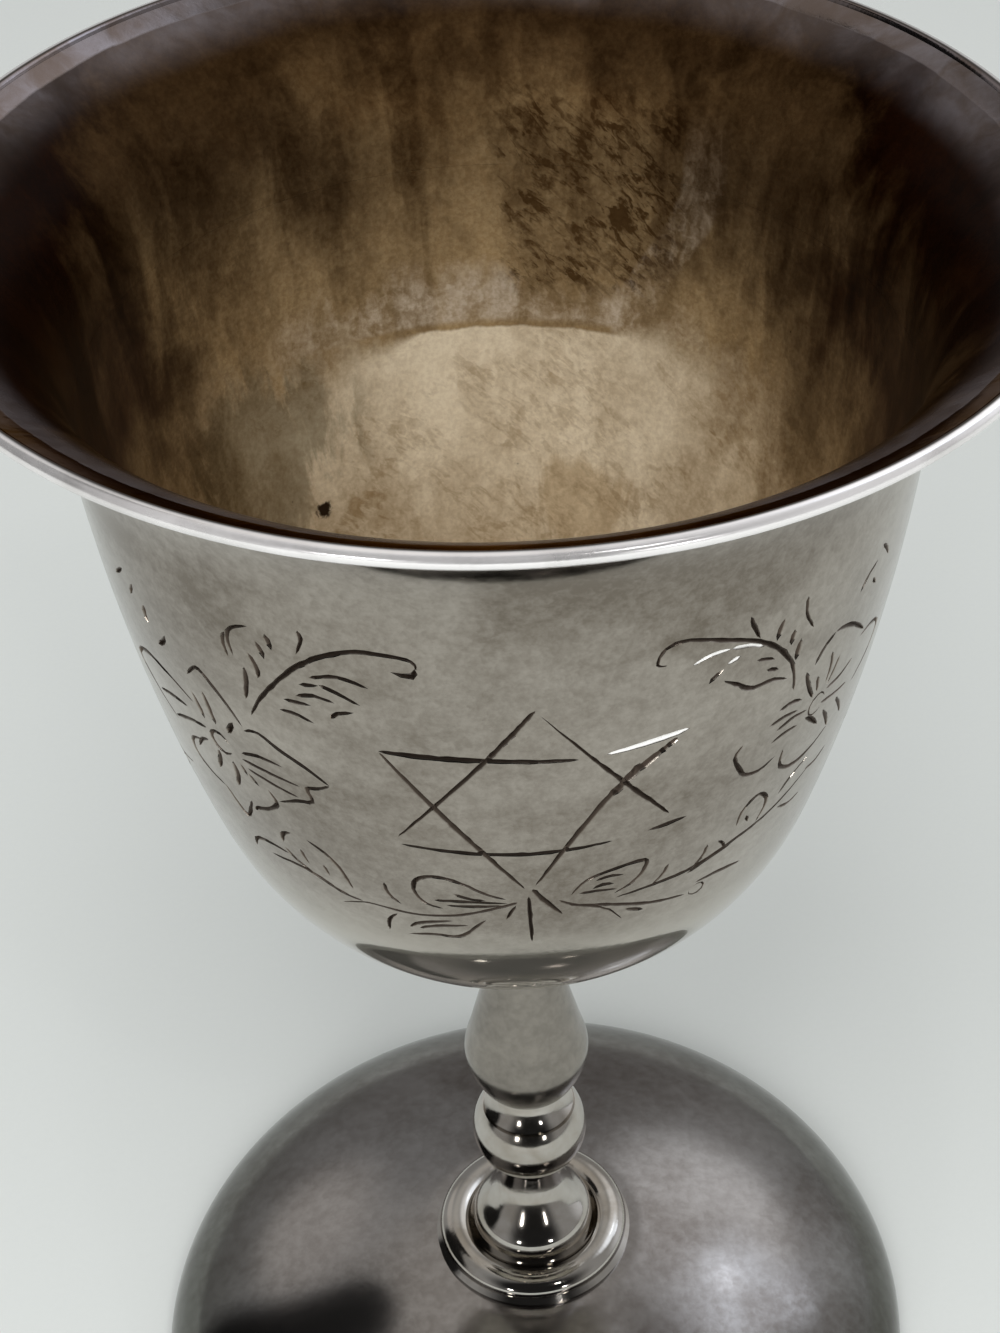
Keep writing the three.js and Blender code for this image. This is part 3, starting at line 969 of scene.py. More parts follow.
class GraverTree(GeometryTree):
    """Sinks the marked strokes into a wall along its own normals."""

    name = "graver"
    inputs = {"Depth": "Float", "Outside": "Material", "Inside": "Material"}

    def shape(self, desk: NodeDesk, given: Outputs) -> Socket:
        """Moves the cut points in, and gives the outside and the inside their materials."""

        def mark(name: str, kind: str) -> Socket:
            """The value of one of the mesh's own attributes."""
            return desk.add("GeometryNodeInputNamedAttribute", {"Name": name}, data_type=kind).outputs[0]

        sunk = desk.level(mark("cut", "FLOAT")) * given["Depth"] * -MM
        offset = desk.scaled(mark("outward", "FLOAT_VECTOR"), sunk)
        made = desk.through("GeometryNodeSetPosition", given["Mesh"], Offset=offset)
        made = desk.through("GeometryNodeSetShadeSmooth", made)
        made = desk.through("GeometryNodeRealizeInstances", made)
        made = desk.through("GeometryNodeSetMaterial", made, Material=given["Outside"])
        lined = {"Selection": mark("inside", "BOOLEAN"), "Material": given["Inside"]}
        return desk.through("GeometryNodeSetMaterial", made, **lined)


# ---- The bowl ---------------------------------------------------------------------------------


@dataclass
class StrokePlan:
    """One stroke as stations along its middle, with its half width at each."""

    middle: list[Point]
    halves: list[float]
    # How far the stroke carries a painted highlight.
    gleam: float


@dataclass
class Bowl:
    """The engraved bowl: a turned vessel with its wall meshed round the strokes cut in it."""

    outline: BowlOutline = field(default_factory=BowlOutline)
    engraving_radius: float = 28.6
    groove_depth: float = 0.62
    plan_weld: float = 1e-5
    least_area: float = 1e-7
    station_step: float = 0.5
    least_stations: int = 3
    length_steps: int = 40
    fullness: float = 0.45
    unevenness: float = 0.16
    swell_range: Span = (0.15, 0.85)
    sides: int = 160
    bottom_rows: int = 34
    wall_rows: int = 26
    flare_rows: int = 22
    bead_rows: int = 18
    bead_rows_inside: int = 3
    clear_of_stroke: float = 0.3
    tremor: float = 0.022
    seed: int = 18

    def plans(self, cuts: Sequence[Cut]) -> list[StrokePlan]:
        """Lays stations along each stroke, as a hand that is not quite steady cuts it."""
        rng = random.Random(self.seed)
        least, most = self.swell_range
        made = []
        for cut in cuts:
            rough = spline(cut.path, self.length_steps) if len(cut.path) > 2 else list(cut.path)
            pieces = max(self.least_stations, round(length_of(rough) / self.station_step))
            middle = spline(cut.path, pieces)
            power = math.log(0.5) / math.log(min(max(cut.swell, least), most))
            halves = []
            for i, (x, z) in enumerate(middle):
                full = max(math.sin(math.pi * (i / pieces) ** power), 0) ** self.fullness
                half = cut.width / 2 * full * (1 + self.unevenness * rng.uniform(-1, 1))
                halves.append(half if 0 < i < pieces else 0.0)
                shake = self.tremor * (0 < i < pieces)
                middle[i] = (x + shake * rng.uniform(-1, 1), z + shake * rng.uniform(-1, 1))
            made.append(StrokePlan(middle, halves, cut.gleam))
        return made

    def wall_plan(self, plans: Sequence[StrokePlan]) -> tuple[list[Vector], list[tuple[int, ...]]]:
        """Meshes the flat layout of the wall, with every stroke's lines as edges.

        Args:
            plans: the strokes.

        Returns:
            The flat points, and the triangles between them.
        """
        half = math.pi * self.engraving_radius
        low, high = self.outline.wall_start[1], self.outline.waist[1]
        near = StrokeField(plans)
        points: list[Vector] = []
        edges: list[tuple[int, int]] = []
        for j in range(self.wall_rows + 1):
            z = low + (high - low) * j / self.wall_rows
            border = j in (0, self.wall_rows)
            for k in range(self.sides + 1):
                x = -half + 2 * half * k / self.sides
                if border or k in (0, self.sides) or near.gap((x, z)) > self.clear_of_stroke:
                    points.append(Vector((x, z)))
        for plan in plans:
            sides = side_normals(plan.middle)
            for shift in (-1, 0, 1):
                first = len(points)
                for (x, z), (nx, nz), h in zip(plan.middle, sides, plan.halves):
                    points.append(Vector((x + shift * nx * h, z + shift * nz * h)))
                edges += [(i, i + 1) for i in range(first, len(points) - 1)]
        flat, _, faces, *_ = delaunay_2d_cdt(points, edges, [], 0, self.plan_weld)
        return flat, faces

    def draft(self, plans: Sequence[StrokePlan]) -> MeshDraft:
        """The whole bowl before its strokes are sunk."""
        shape, sides = self.outline, self.sides
        draft = MeshDraft()
        draft.rows([(0.0, shape.seat_height), (shape.seat_radius, shape.seat_height)], sides)
        draft.rows(shape.bottom(self.bottom_rows), sides)
        self.add_wall(draft, plans)
        draft.rows(shape.flare(self.flare_rows), sides)
        bead = shape.bead(self.bead_rows)
        over = self.bead_rows - self.bead_rows_inside
        draft.rows(bead[: over + 1], sides)
        for outline in (
            bead[over:],
            shape.inside_of(shape.flare(self.flare_rows)),
            shape.inside_of(shape.wall_curve(self.wall_rows)),
            shape.inner_bottom(self.bottom_rows),
        ):
            draft.rows(outline, sides, inside=True)
        return draft

    def add_wall(self, draft: MeshDraft, plans: Sequence[StrokePlan]) -> None:
        """Wraps the meshed layout round the axis and marks where it is cut."""
        flat, faces = self.wall_plan(plans)
        near = StrokeField(plans)
        numbers = []
        for x, z in flat:
            radius, (nr, nz) = self.outline.on_wall(z)
            a = x / self.engraving_radius
            out = Vector((math.sin(a), -math.cos(a), 0))
            # Gleam is the share of painted highlight in a cut.
            cut, stain, gleam = near.depth((x, z))
            place = (out * radius + Vector((0, 0, z))) * MM
            normal = out * nr + Vector((0, 0, nz))
            numbers.append(draft.point(place, normal, cut=cut, stain=stain, gleam=gleam))
        for face in faces:
            a, b, c = (flat[i] for i in face[:3])
            turn = (b - a).cross(c - a)
            if abs(turn) > self.least_area:
                draft.face([numbers[i] for i in (face if turn > 0 else face[::-1])])

    def build(self, outside: Metal, inside: Metal) -> bpy.types.Object:
        """Makes the piece and gives its edges crisp normals.

        Args:
            outside: the material of its outside.
            inside: the material of its inside.

        Returns:
            The finished object.
        """
        plans = self.plans(Ornament().draw())
        draft = self.draft(plans).mesh("bowl_draft")
        values = {"Depth": self.groove_depth, "Outside": outside, "Inside": inside}
        piece = GraverTree().run("bowl_engraved", draft, **values)
        self.set_normals(piece.data)
        log.info("bowl_engraved: %d strokes, %d faces", len(plans), len(piece.data.polygons))
        return piece

    @staticmethod
    def set_normals(mesh: bpy.types.Mesh) -> None:
        """Gives the wall its true curved normals and the grooves' flanks flat ones."""
        cut = [item.value for item in mesh.attributes["cut"].data]
        outward = [item.vector.copy() for item in mesh.attributes["outward"].data]
        normals: list[Vector] = [Vector()] * len(mesh.loops)
        for polygon in mesh.polygons:
            grooved = any(cut[v] > WELD for v in polygon.vertices)
            for loop in polygon.loop_indices:
                smooth = outward[mesh.loops[loop].vertex_index]
                normals[loop] = polygon.normal.copy() if grooved else smooth
        mesh.normals_split_custom_set(normals)


class StrokeField:
    """Finds the strokes near a place on the flat layout."""

    cell = 1.0
    far = 9.0
    thinnest = 1e-4
    flank = 0.98

    def __init__(self, plans: Sequence[StrokePlan]) -> None:
        """Sorts every stroke's short lengths into cells."""
        self.cells: dict[tuple[int, int], list[tuple]] = {}
        for plan in plans:
            for i in range(len(plan.middle) - 1):
                a, b = plan.middle[i], plan.middle[i + 1]
                item = (a, b, plan.halves[i], plan.halves[i + 1], plan)
                keys = {self.key(a), self.key(b), self.key(((a[0] + b[0]) / 2, (a[1] + b[1]) / 2))}
                for key in keys:
                    self.cells.setdefault(key, []).append(item)

    def key(self, place: Point) -> tuple[int, int]:
        """The cell that a place is in."""
        return (math.floor(place[0] / self.cell), math.floor(place[1] / self.cell))

    def close(self, place: Point) -> Iterable[tuple[float, float, StrokePlan]]:
        """Each short length of a stroke near a place: its distance, half width and stroke."""
        i, j = self.key(place)
        for key in ((i + di, j + dj) for di in (-1, 0, 1) for dj in (-1, 0, 1)):
            for a, b, ha, hb, plan in self.cells.get(key, ()):
                along = (b[0] - a[0], b[1] - a[1])
                square = along[0] ** 2 + along[1] ** 2 or 1e-12
                t = ((place[0] - a[0]) * along[0] + (place[1] - a[1]) * along[1]) / square
                t = min(max(t, 0.0), 1.0)
                foot = (a[0] + along[0] * t, a[1] + along[1] * t)
                yield math.dist(place, foot), ha + (hb - ha) * t, plan

    def gap(self, place: Point) -> float:
        """How far a place is from the nearest edge of a stroke."""
        return min((d - half for d, half, _ in self.close(place)), default=self.far)

    def depth(self, place: Point) -> tuple[float, float, float]:
        """How deep a place is cut, how stained it is there, and how much painted highlight it has."""
        cut = stain = gleam = 0.0
        for distance, half, plan in self.close(place):
            if half > self.thinnest and distance < half * self.flank:
                share = 1 - distance / half
                if 2 * half * share > cut:
                    cut = 2 * half * share
                    stain, gleam = (1 - plan.gleam) * share, plan.gleam * share
        return cut, stain, gleam


# ---- The stem and the foot --------------------------------------------------------------------


@dataclass
class Stem:
    """The turned stem: collar, bell, ball, fillet and egg."""

    collar_radius: float = 9.4
    collar_height: float = 17.6
    ball_radius: float = 5.46
    ball_height: float = 33.3
    egg_radius: float = 5.75
    egg_height: float = 44.8
    foot_seat: float = 16.4
    bowl_seat: Point = (3.6, BowlOutline().seat_height)
    sides: int = 96

    def profile(self) -> list[Point]:
        """The stem's profile, from its underside on the foot up to the bowl."""
        fillet = self.collar_radius + 0.35
        ball, egg = self.ball_height, self.egg_height
        return [
            (0, self.foot_seat),
            (fillet, self.foot_seat),
            (fillet, self.foot_seat + 0.35),
            *arc((self.collar_radius - 1.8, self.collar_height), (1.8, 1.35), -0.4, 2.4, 24),
            (5.5, 18.35),
            (5.5, 18.8),
            *spline([(5.95, 19.1), (5.6, 20.6), (4.2, 22.4), (2.9, 24.6), (2.35, 27.2)], 28),
            *arc(
                (0, ball),
                (self.ball_radius, self.ball_radius),
                -math.acos(2.5 / self.ball_radius),
                math.acos(4.4 / self.ball_radius),
                32,
            ),
            (4.15, ball + 3.2),
            (4.25, ball + 3.55),
            (3.3, ball + 4.6),
            *spline(
                [
                    (2.95, egg - 5.6),
                    (4.65, egg - 3.6),
                    (self.egg_radius, egg),
                    (5.0, egg + 3.7),
                    (4.05, egg + 7.7),
                    (3.05, egg + 12.7),
                    (2.75, egg + 16.2),
                    self.bowl_seat,
                ],
                56,
            ),
            (0, self.bowl_seat[1]),
        ]

    def build(self, turning: TurningTree, metal: Metal) -> bpy.types.Object:
        """Turns the piece."""
        return turning.turn("stem_turned", self.profile(), self.sides, metal)


@dataclass
class Foot:
    """The foot: a dome of sheet with its edge turned in to a bearing ring, open beneath."""

    radius: float = 38.6
    dome_height: float = 17.05
    seat_height: float = 16.4
    wall: float = 0.8
    bearing_inner: float = 35.9
    bearing_thickness: float = 1.1
    edge_rounding: float = 0.4
    sides: int = 160

    def profile(self) -> list[Point]:
        """The foot's profile, up the inside, round the bearing ring and over the dome."""
        inner_dome = self.dome_height - self.wall
        inner_seat = self.seat_height - self.wall
        inner = arc(
            (0, 0),
            (self.radius - self.wall, inner_dome),
            math.asin(inner_seat / inner_dome),
            math.asin(self.bearing_thickness / inner_dome),
            36,
        )
        edge = self.edge_rounding
        outer = arc(
            (0, 0),
            (self.radius, self.dome_height),
            math.asin(edge / self.dome_height),
            math.asin(self.seat_height / self.dome_height),
            56,
        )
        rim = arc((self.radius - edge, edge), (edge, edge), -math.pi / 2, -0.1, 6)
        return [
            (0, inner_seat),
            *inner,
            (self.bearing_inner, self.bearing_thickness),
            (self.bearing_inner, 0),
            *rim,
            *outer,
            (0, self.seat_height),
        ]

    def build(self, turning: TurningTree, metal: Metal) -> bpy.types.Object:
        """Turns the piece."""
        return turning.turn("foot_spun", self.profile(), self.sides, metal)


# ---- Finishes ---------------------------------------------------------------------------------


class Effects:
    """The node groups that more than one finish uses."""

    def __init__(self) -> None:
        """Builds each group once."""
        soft = {"Scale": 40.0, "Low": 0.4, "High": 0.65, "Drift": 0.35}
        self.clouds = self.group("tarnish_clouds", soft, self.make_clouds)
        self.rubbing = self.group("hand_rubbing", {"Scale": 900.0, "Streak": 0.2}, self.make_rubbing)
        self.specks = self.group("dark_specks", {"Scale": 300.0, "Size": 0.1}, self.make_specks)

    @staticmethod
    def group(name: str, inputs: dict[str, float], make: Callable) -> bpy.types.ShaderNodeTree:
        """A shader group that takes a place and named numbers and puts out one value."""
        tree = bpy.data.node_groups.new(name, "ShaderNodeTree")
        tree.interface.new_socket("Vector", in_out="INPUT", socket_type="NodeSocketVector")
        for key, value in inputs.items():
            socket = tree.interface.new_socket(key, in_out="INPUT", socket_type="NodeSocketFloat")
            socket.default_value = value
        tree.interface.new_socket("Value", in_out="OUTPUT", socket_type="NodeSocketFloat")
        desk = NodeDesk(tree)
        given = desk.add("NodeGroupInput").outputs
        desk.add("NodeGroupOutput", {"Value": make(desk, given)})
        return tree

    @staticmethod
    def make_clouds(desk: NodeDesk, given: Outputs) -> Level:
        """Soft blotches whose edges wander."""
        wander = {"Vector": given["Vector"], "Scale": given["Scale"], "Detail": 2.0}
        drift = desk.add("ShaderNodeTexNoise", wander).outputs["Color"]
        push = desk.vector("SUBTRACT", drift, (0.5, 0.5, 0.5))
        reach = desk.level(given["Drift"]) / given["Scale"]
        moved = desk.vector("ADD", given["Vector"], desk.scaled(push, reach))
        return desk.noise(moved, given["Scale"], 6.0, 0.6).span(given["Low"], given["High"])

    @staticmethod
    def make_rubbing(desk: NodeDesk, given: Outputs) -> Level:
        """Fine lines that run round the turned form, broken up as hand polishing leaves them."""
        x, y, z = desk.axes(given["Vector"])
        drawn = {0: x * given["Streak"], 1: y * given["Streak"], 2: z}
        return desk.noise(desk.add("ShaderNodeCombineXYZ", drawn).outputs[0], given["Scale"], 5.0, 0.65)

    @staticmethod
    def make_specks(desk: NodeDesk, given: Outputs) -> Level:
        """Small dark spots, scattered and of uneven size."""
        scattered = {"Vector": given["Vector"], "Scale": given["Scale"]}
        cells = desk.add("ShaderNodeTexVoronoi", scattered).outputs
        chance = desk.level(desk.add("ShaderNodeSeparateColor", {0: cells["Color"]}).outputs[0])
        rag = desk.noise(given["Vector"], desk.level(given["Scale"]) * 6.0, 2.0)
        return ((chance * given["Size"] * rag - cells["Distance"]) * 18.0).clamped()


class Finish:
    """A material with a Principled metal in it, and a desk to work on its nodes."""

    def __init__(self, name: str, effects: Effects) -> None:
        """Makes the bare material."""
        self.effects = effects
        self.material = bpy.data.materials.new(name)
        self.material.use_nodes = True
        self.desk = NodeDesk(self.material.node_tree)
        self.metal = self.material.node_tree.nodes["Principled BSDF"].inputs
        self.place = self.desk.add("ShaderNodeTexCoord").outputs["Object"]

    def effect(self, tree: bpy.types.ShaderNodeTree, place: object = None, **values: float) -> Level:
        """Places a shared effect.

        Args:
            tree: the effect's group.
            place: a vector to use for the place, or None for the place itself.
            values: its named inputs.

        Returns:
            Its value.
        """
        node = self.desk.add("ShaderNodeGroup", node_tree=tree)
        for name, value in (("Vector", self.place if place is None else place), *values.items()):
            self.desk.feed(value, node.inputs[name])
        return self.desk.level(node.outputs["Value"])

    def clouds(self, scale: float, low: float, high: float, drift: float, place: object = None) -> Level:
        """Soft blotches: how fine they are, where they start and end, and how they wander."""
        return self.effect(self.effects.clouds, place, Scale=scale, Low=low, High=high, Drift=drift)

    def rubbing(self, scale: float, streak: float) -> Level:
        """Lines of hand rubbing: how fine they are, and how short."""
        return self.effect(self.effects.rubbing, Scale=scale, Streak=streak)

    def mapped(self, kind: str = "POINT", **inputs: object) -> Socket:
        """The place, turned or stretched."""
        inputs["Vector"] = self.place
        return self.desk.add("ShaderNodeMapping", inputs, vector_type=kind).outputs[0]

    def mark(self, name: str) -> Level:
        """The value of one of the piece's own attributes."""
        return self.desk.level(self.desk.add("ShaderNodeAttribute", attribute_name=name).outputs["Fac"])

    def along(self, axis: int) -> Level:
        """The place along one axis, in metres."""
        return self.desk.axes(self.place)[axis]

    def height(self) -> Level:
        """The height above the foot's underside, in metres."""
        return self.along(2)

    def radius(self) -> Level:
        """The distance from the axis, in metres."""
        x, y = self.along(0), self.along(1)
        square = x * x + y * y
        return square.maths("SQRT", square)

    def bearing(self) -> Level:
        """The bearing from the axis in degrees, 0 at the back and rising to the right."""
        x, y = self.along(0), self.along(1)
        return x.maths("ARCTAN2", x, y) * (180 / math.pi)

    def bump(self, *layers: tuple[Level, float]) -> None:
        """Stacks bumps, each with its height in millimetres, and feeds them to the metal."""
        normal = None
        for value, rise in layers:
            inputs = {"Height": value, "Distance": rise * MM, "Strength": 1.0}
            if normal is not None:
                inputs["Normal"] = normal
            normal = self.desk.add("ShaderNodeBump", inputs).outputs["Normal"]
        self.desk.feed(normal, self.metal["Normal"])

    def wear(self, colour: object, roughness: Level, metallic: object = 1.0) -> None:
        """Feeds the metal its colour, its roughness and how metallic it is."""
        for name, value in (("Base Color", colour), ("Roughness", roughness), ("Metallic", metallic)):
            self.desk.feed(value, self.metal[name])


class Dressing:
    """What the four finishes have in common: each dresses one material of its own."""

    name = ""

    def make(self, effects: Effects) -> Metal:
        """Builds the material."""
        finish = Finish(self.name, effects)
        self.dress(finish, finish.desk)
        return finish.material

    def dress(self, finish: Finish, desk: NodeDesk) -> None:
        """Lays out the nodes that feed the metal."""
        raise NotImplementedError


@dataclass(frozen=True)
class SatinSilver(Dressing):
    """The bowl's outside: satin silver with a thin warm film, dark in its cuts, with painted highlights
    on its bead and in some cuts and painted shade under the bead.

    Each pair is where a change starts and ends: heights and radii are in metres.
    """

    name = "satin_silver"
    silver: Colour = (0.425, 0.388, 0.342)
    film: Colour = (0.185, 0.157, 0.127)
    base: Colour = (0.46, 0.43, 0.375)
    # Polished silver for the bead, partly matt so that it carries a painted highlight.
    lip: Colour = (0.97, 0.94, 0.94)
    # Painted shade for the crease between the flare and the bead.
    crease: Colour = (0.10, 0.085, 0.075)
    groove: Colour = (0.105, 0.08, 0.064)
    # Nearly matt white: a painted highlight in the cuts that carry gleam.
    bare: Colour = (0.97, 0.96, 0.94)
    handled_heights: Span = (0.1100, 0.1220)
    handled_film: Span = (0.12, 0.42)
    base_heights: Span = (0.0900, 0.0800)
    polished_heights: Span = (0.0860, 0.0835)
    polished_gloss: float = 0.4
    polished_matt: float = 0.17
    crease_rise: Span = (0.0378, 0.0384)
    crease_fall: Span = (0.0388, 0.0386)
    crease_share: float = 0.85
    lip_radii: Span = (0.0386, 0.0388)
    lip_matt: float = 0.3
    stain_marks: Span = (0.02, 0.35)
    gleam_marks: Span = (0.02, 0.25)
    gleam_matt: float = 0.95
    roughness: Span = (0.11, 0.17)
    groove_roughness: float = 0.3
    lip_roughness: float = 0.08

    def dress(self, finish: Finish, desk: NodeDesk) -> None:
        """Lays out the nodes that feed the metal."""
        height, out = finish.height(), finish.radius()
        clouds = finish.clouds(55.0, 0.38, 0.7, 0.5)
        smears = finish.clouds(32.0, 0.42, 0.62, 0.7, finish.mapped(Scale=(1, 1, 2.2)))
        grain = finish.clouds(1100.0, 0.3, 0.7, 0.6)
        dust = finish.clouds(3000.0, 0.36, 0.64, 0.4)
        rubbing = finish.rubbing(1500.0, 0.7)

        handled = height.span(*self.handled_heights) * clouds.span(0.0, 1.0, *self.handled_film)
        film = (clouds * 0.28 + grain * 0.30 + dust * 0.15 + smears * 0.42 + handled).clamped()
        # Painted shade in the crease between the flare and the bead.
        crease = out.between(self.crease_rise, self.crease_fall)
        # The bead: polished silver, made partly matt white as a painted highlight.
        lip = (out.span(*self.lip_radii) * (1.1 - clouds * 0.4)).clamped()
        stain = finish.mark("stain").span(*self.stain_marks)
        # Gleam paints a highlight into some cuts.
        gleam = finish.mark("gleam").span(*self.gleam_marks)
        colour = self.silver
        for share, over in (
            (film, self.film),
            (height.span(*self.base_heights), self.base),
            (crease * self.crease_share, self.crease),
            (lip, self.lip),
            (stain, self.groove),
            (gleam, self.bare),
        ):
            colour = desk.blend(share, colour, over)

        polished = height.span(*self.polished_heights)
        rough = rubbing.span(0.3, 0.7, *self.roughness) + stain * self.groove_roughness
        rough = rough * polished.span(0.0, 1.0, 1.0, self.polished_gloss) + lip * self.lip_roughness
        # The matt share brightens the painted highlights on the bead and in the gleaming cuts, and the
        # polished base a little.
        matt = (gleam * self.gleam_matt).most(lip * self.lip_matt).most(polished * self.polished_matt)
        finish.wear(colour, rough, 1.0 - matt)
        finish.bump((rubbing, 0.0015), (clouds, 0.008))


@dataclass(frozen=True)
class Spot:
    """A ragged round stain: its place and radius in metres, and its colour."""

    place: Point3
    radius: float
    colour: Colour


@dataclass(frozen=True)
class Column:
    """An upright band of the wall between two bearings in degrees, and how strong it is."""

    low: float
    high: float
    strength: float

    def share(self, bearing: Level) -> Level:
        """How far a bearing lies in the band."""
        rise, fall = (self.low - 0.8, self.low + 0.4), (self.high + 1.5, self.high)
        return bearing.between(rise, fall) * self.strength


class PatinaMarks:
    """What varies over the bowl's inside: its textures, and the places they are read at."""

    def __init__(self, finish: Finish) -> None:
        """Lays the textures."""
        slanted = {"Rotation": (0, math.radians(42), 0), "Scale": (2.6, 1.6, 0.9)}
        self.height, self.out, self.bearing = finish.height(), finish.radius(), finish.bearing()
        self.rightward = finish.along(0)
        self.clouds = finish.clouds(60.0, 0.35, 0.65, 0.8)
        self.body = finish.clouds(170.0, 0.36, 0.64, 1.0, finish.mapped(Scale=(1, 1, 0.3)))
        self.grain = finish.clouds(850.0, 0.3, 0.68, 1.5)
        self.flake = finish.clouds(900.0, 0.46, 0.60, 2.4, finish.mapped("TEXTURE", **slanted))
        self.patch = finish.clouds(95.0, 0.42, 0.6, 1.2)
        self.dust = finish.clouds(2600.0, 0.38, 0.62, 0.6)
        self.specks = finish.effect(finish.effects.specks, Scale=420.0, Size=0.1)
        streaks = finish.clouds(230.0, 0.4, 0.62, 0.6, finish.mapped(Scale=(1, 1, 0.07)))
        self.ragged = self.clouds + self.body * 0.6 - 0.8
        self.tone = self.body * 0.45 + self.grain * 0.35 + streaks * 0.2
        self.strayed_out = abs(self.rightward) + self.ragged * 0.0035
        self.strayed_up = self.height + self.ragged * 0.004


@dataclass(frozen=True)
class BrownPatina(Dressing):
    """The bowl's inside: tan where wine has stood, brown and mottled above, with painted shade at its
    sides, under its rim and high in its corners.

    Each pair is where a change starts and ends: heights, radii and distances to a side are in
    metres, and bearings are in degrees.
    """

    name = "brown_patina"
    tan: Colour = (1.0, 0.87, 0.65)
    stale_tan: Colour = (0.42, 0.30, 0.165)
    light_brown: Colour = (0.49, 0.352, 0.185)
    deep_brown: Colour = (0.095, 0.053, 0.020)
    # Multiplied in towards the rim: darker and greyer.
    fumed: Colour = (0.43, 0.365, 0.30)
    chalk: Colour = (0.76, 0.66, 0.53)
    # The colour of the painted shade at the sides, under the rim and in the upper corners.
    soot: Colour = (0.06, 0.024, 0.004)
    sheen: Colour = (0.45, 0.30, 0.16)
    dusty: Colour = (0.55, 0.45, 0.34)
    dust_shares: Span = (0.4, 0.22)
    silver: Colour = (0.27, 0.245, 0.26)
    speck: Colour = (0.03, 0.018, 0.01)
    grime: Spot = Spot((-0.0168, 0.0180, 0.0985), 0.0052, (0.56, 0.56, 0.53))
    wine_stain: Spot = Spot((0.0074, 0.0236, 0.0893), 0.0036, (0.79, 0.735, 0.655))
    pit: Spot = Spot((-0.0144, 0.0211, 0.0916), 0.0005, speck)
    metallic: float = 0.4
    specular: float = 0.06
    wine_line: float = 0.1042
    wine_middle: float = 5.0
    wine_edge: Span = (14.0, 40.0)
    wine_width: Span = (0.0270, 0.0160)
    tan_middle: float = 9.0
    tan_edge: Span = (16.0, 42.0)
    tan_upright: Span = (0.0820, 0.0890)
    flake_bearings: tuple[Span, Span] = ((0.0, 6.0), (36.0, 27.0))
    flake_heights: tuple[Span, Span] = ((0.1265, 0.1215), (0.1060, 0.1095))
    dim_heights: Span = (0.1045, 0.1170)
    dim_column: Column = Column(-15.0, -9.0, 0.13)
    light_column: Column = Column(-8.0, 1.0, 0.12)
    chalk_heights: Span = (0.1090, 0.1050)
    chalk_floor: Span = (0.1046, 0.1053)
    chalk_bearings: Span = (42.0, 24.0)
    streak_of_chalk: Column = Column(22.0, 28.0, 0.7)
    streak_lean: tuple[float, float, float, float] = (0.1050, 0.1190, 0.0, 11.0)
    streak_heights: Span = (0.1250, 0.1190)
    fume_heights: Span = (0.1110, 0.1270)
    # Where painted shade falls: at the sides, under the rim and in the upper corners.
    side_distances: Span = (0.0190, 0.0295)
    side_heights: Span = (0.084, 0.112)
    rim_heights: Span = (0.1215, 0.1285)
    corner_middle: float = 0.0035
    corner_distances: Span = (0.0050, 0.0210)
    corner_heights: Span = (0.1100, 0.1220)
    corner_strength: float = 0.74
    rim_strength: float = 0.8
    clean_radii: Span = (0.0335, 0.0366)
    bare_radii: Span = (0.0366, 0.0369)

    def dress(self, finish: Finish, desk: NodeDesk) -> None:
        """Lays out the nodes that feed the metal."""
        finish.metal["Specular IOR Level"].default_value = self.specular
        finish.metal["Specular Tint"].default_value = rgba(self.sheen)
        marks = PatinaMarks(finish)
        below = self.below_wine(marks)
        # The band under the rim, which takes painted shade and more roughness.
        rising = (marks.height + marks.ragged * 0.002).span(*self.rim_heights)
        shade = self.shade(marks, rising)
        colour = desk.blend(below, self.wall(desk, marks), self.bottom(desk, marks))
        for stain in (self.grime, self.wine_stain):
            share = self.spot(finish, stain, marks.body)
            colour = desk.blend(share, colour, stain.colour, "MULTIPLY")
        dust = marks.dust * below.span(0.0, 1.0, *self.dust_shares)
        colour = desk.blend(dust, colour, self.dusty, "MULTIPLY")
        # Painted shade darkens the sides, the band under the rim and the upper corners.
        colour = desk.blend(shade, colour, self.soot, "MULTIPLY")
        strip = marks.out + marks.ragged * 0.0002
        clean = strip.span(*self.clean_radii) * (marks.clouds * 0.3 + 0.15)
        clean = clean.most(strip.span(*self.bare_radii))
        colour = desk.blend(clean, colour, desk.blend(marks.body * 0.6, self.silver, self.deep_brown))
        specks = marks.specks.most(self.spot(finish, self.pit, marks.grain))
        colour = desk.blend(specks, colour, self.speck)
        rough = (marks.clouds + rising).span(0.0, 1.5, 0.42, 0.3) - clean * 0.16
        # The painted shade also takes up to half of the metallic share away.
        finish.wear(colour, rough, clean.most((1.0 - shade * 0.5) * self.metallic))
        finish.bump((marks.grain, 0.003), (marks.body, 0.01))

    def below_wine(self, marks: PatinaMarks) -> Level:
        """How far a place lies below the line that wine has left, crisp only at its middle."""
        aside = abs(marks.bearing - self.wine_middle).span(*self.wine_edge)
        line = marks.body * 0.0003 + self.wine_line + aside * marks.ragged * 0.006
        below = ((line - marks.height) / (aside * 0.008 + 0.0003)).span(-0.5, 0.5)
        return below * marks.strayed_out.span(*self.wine_width)

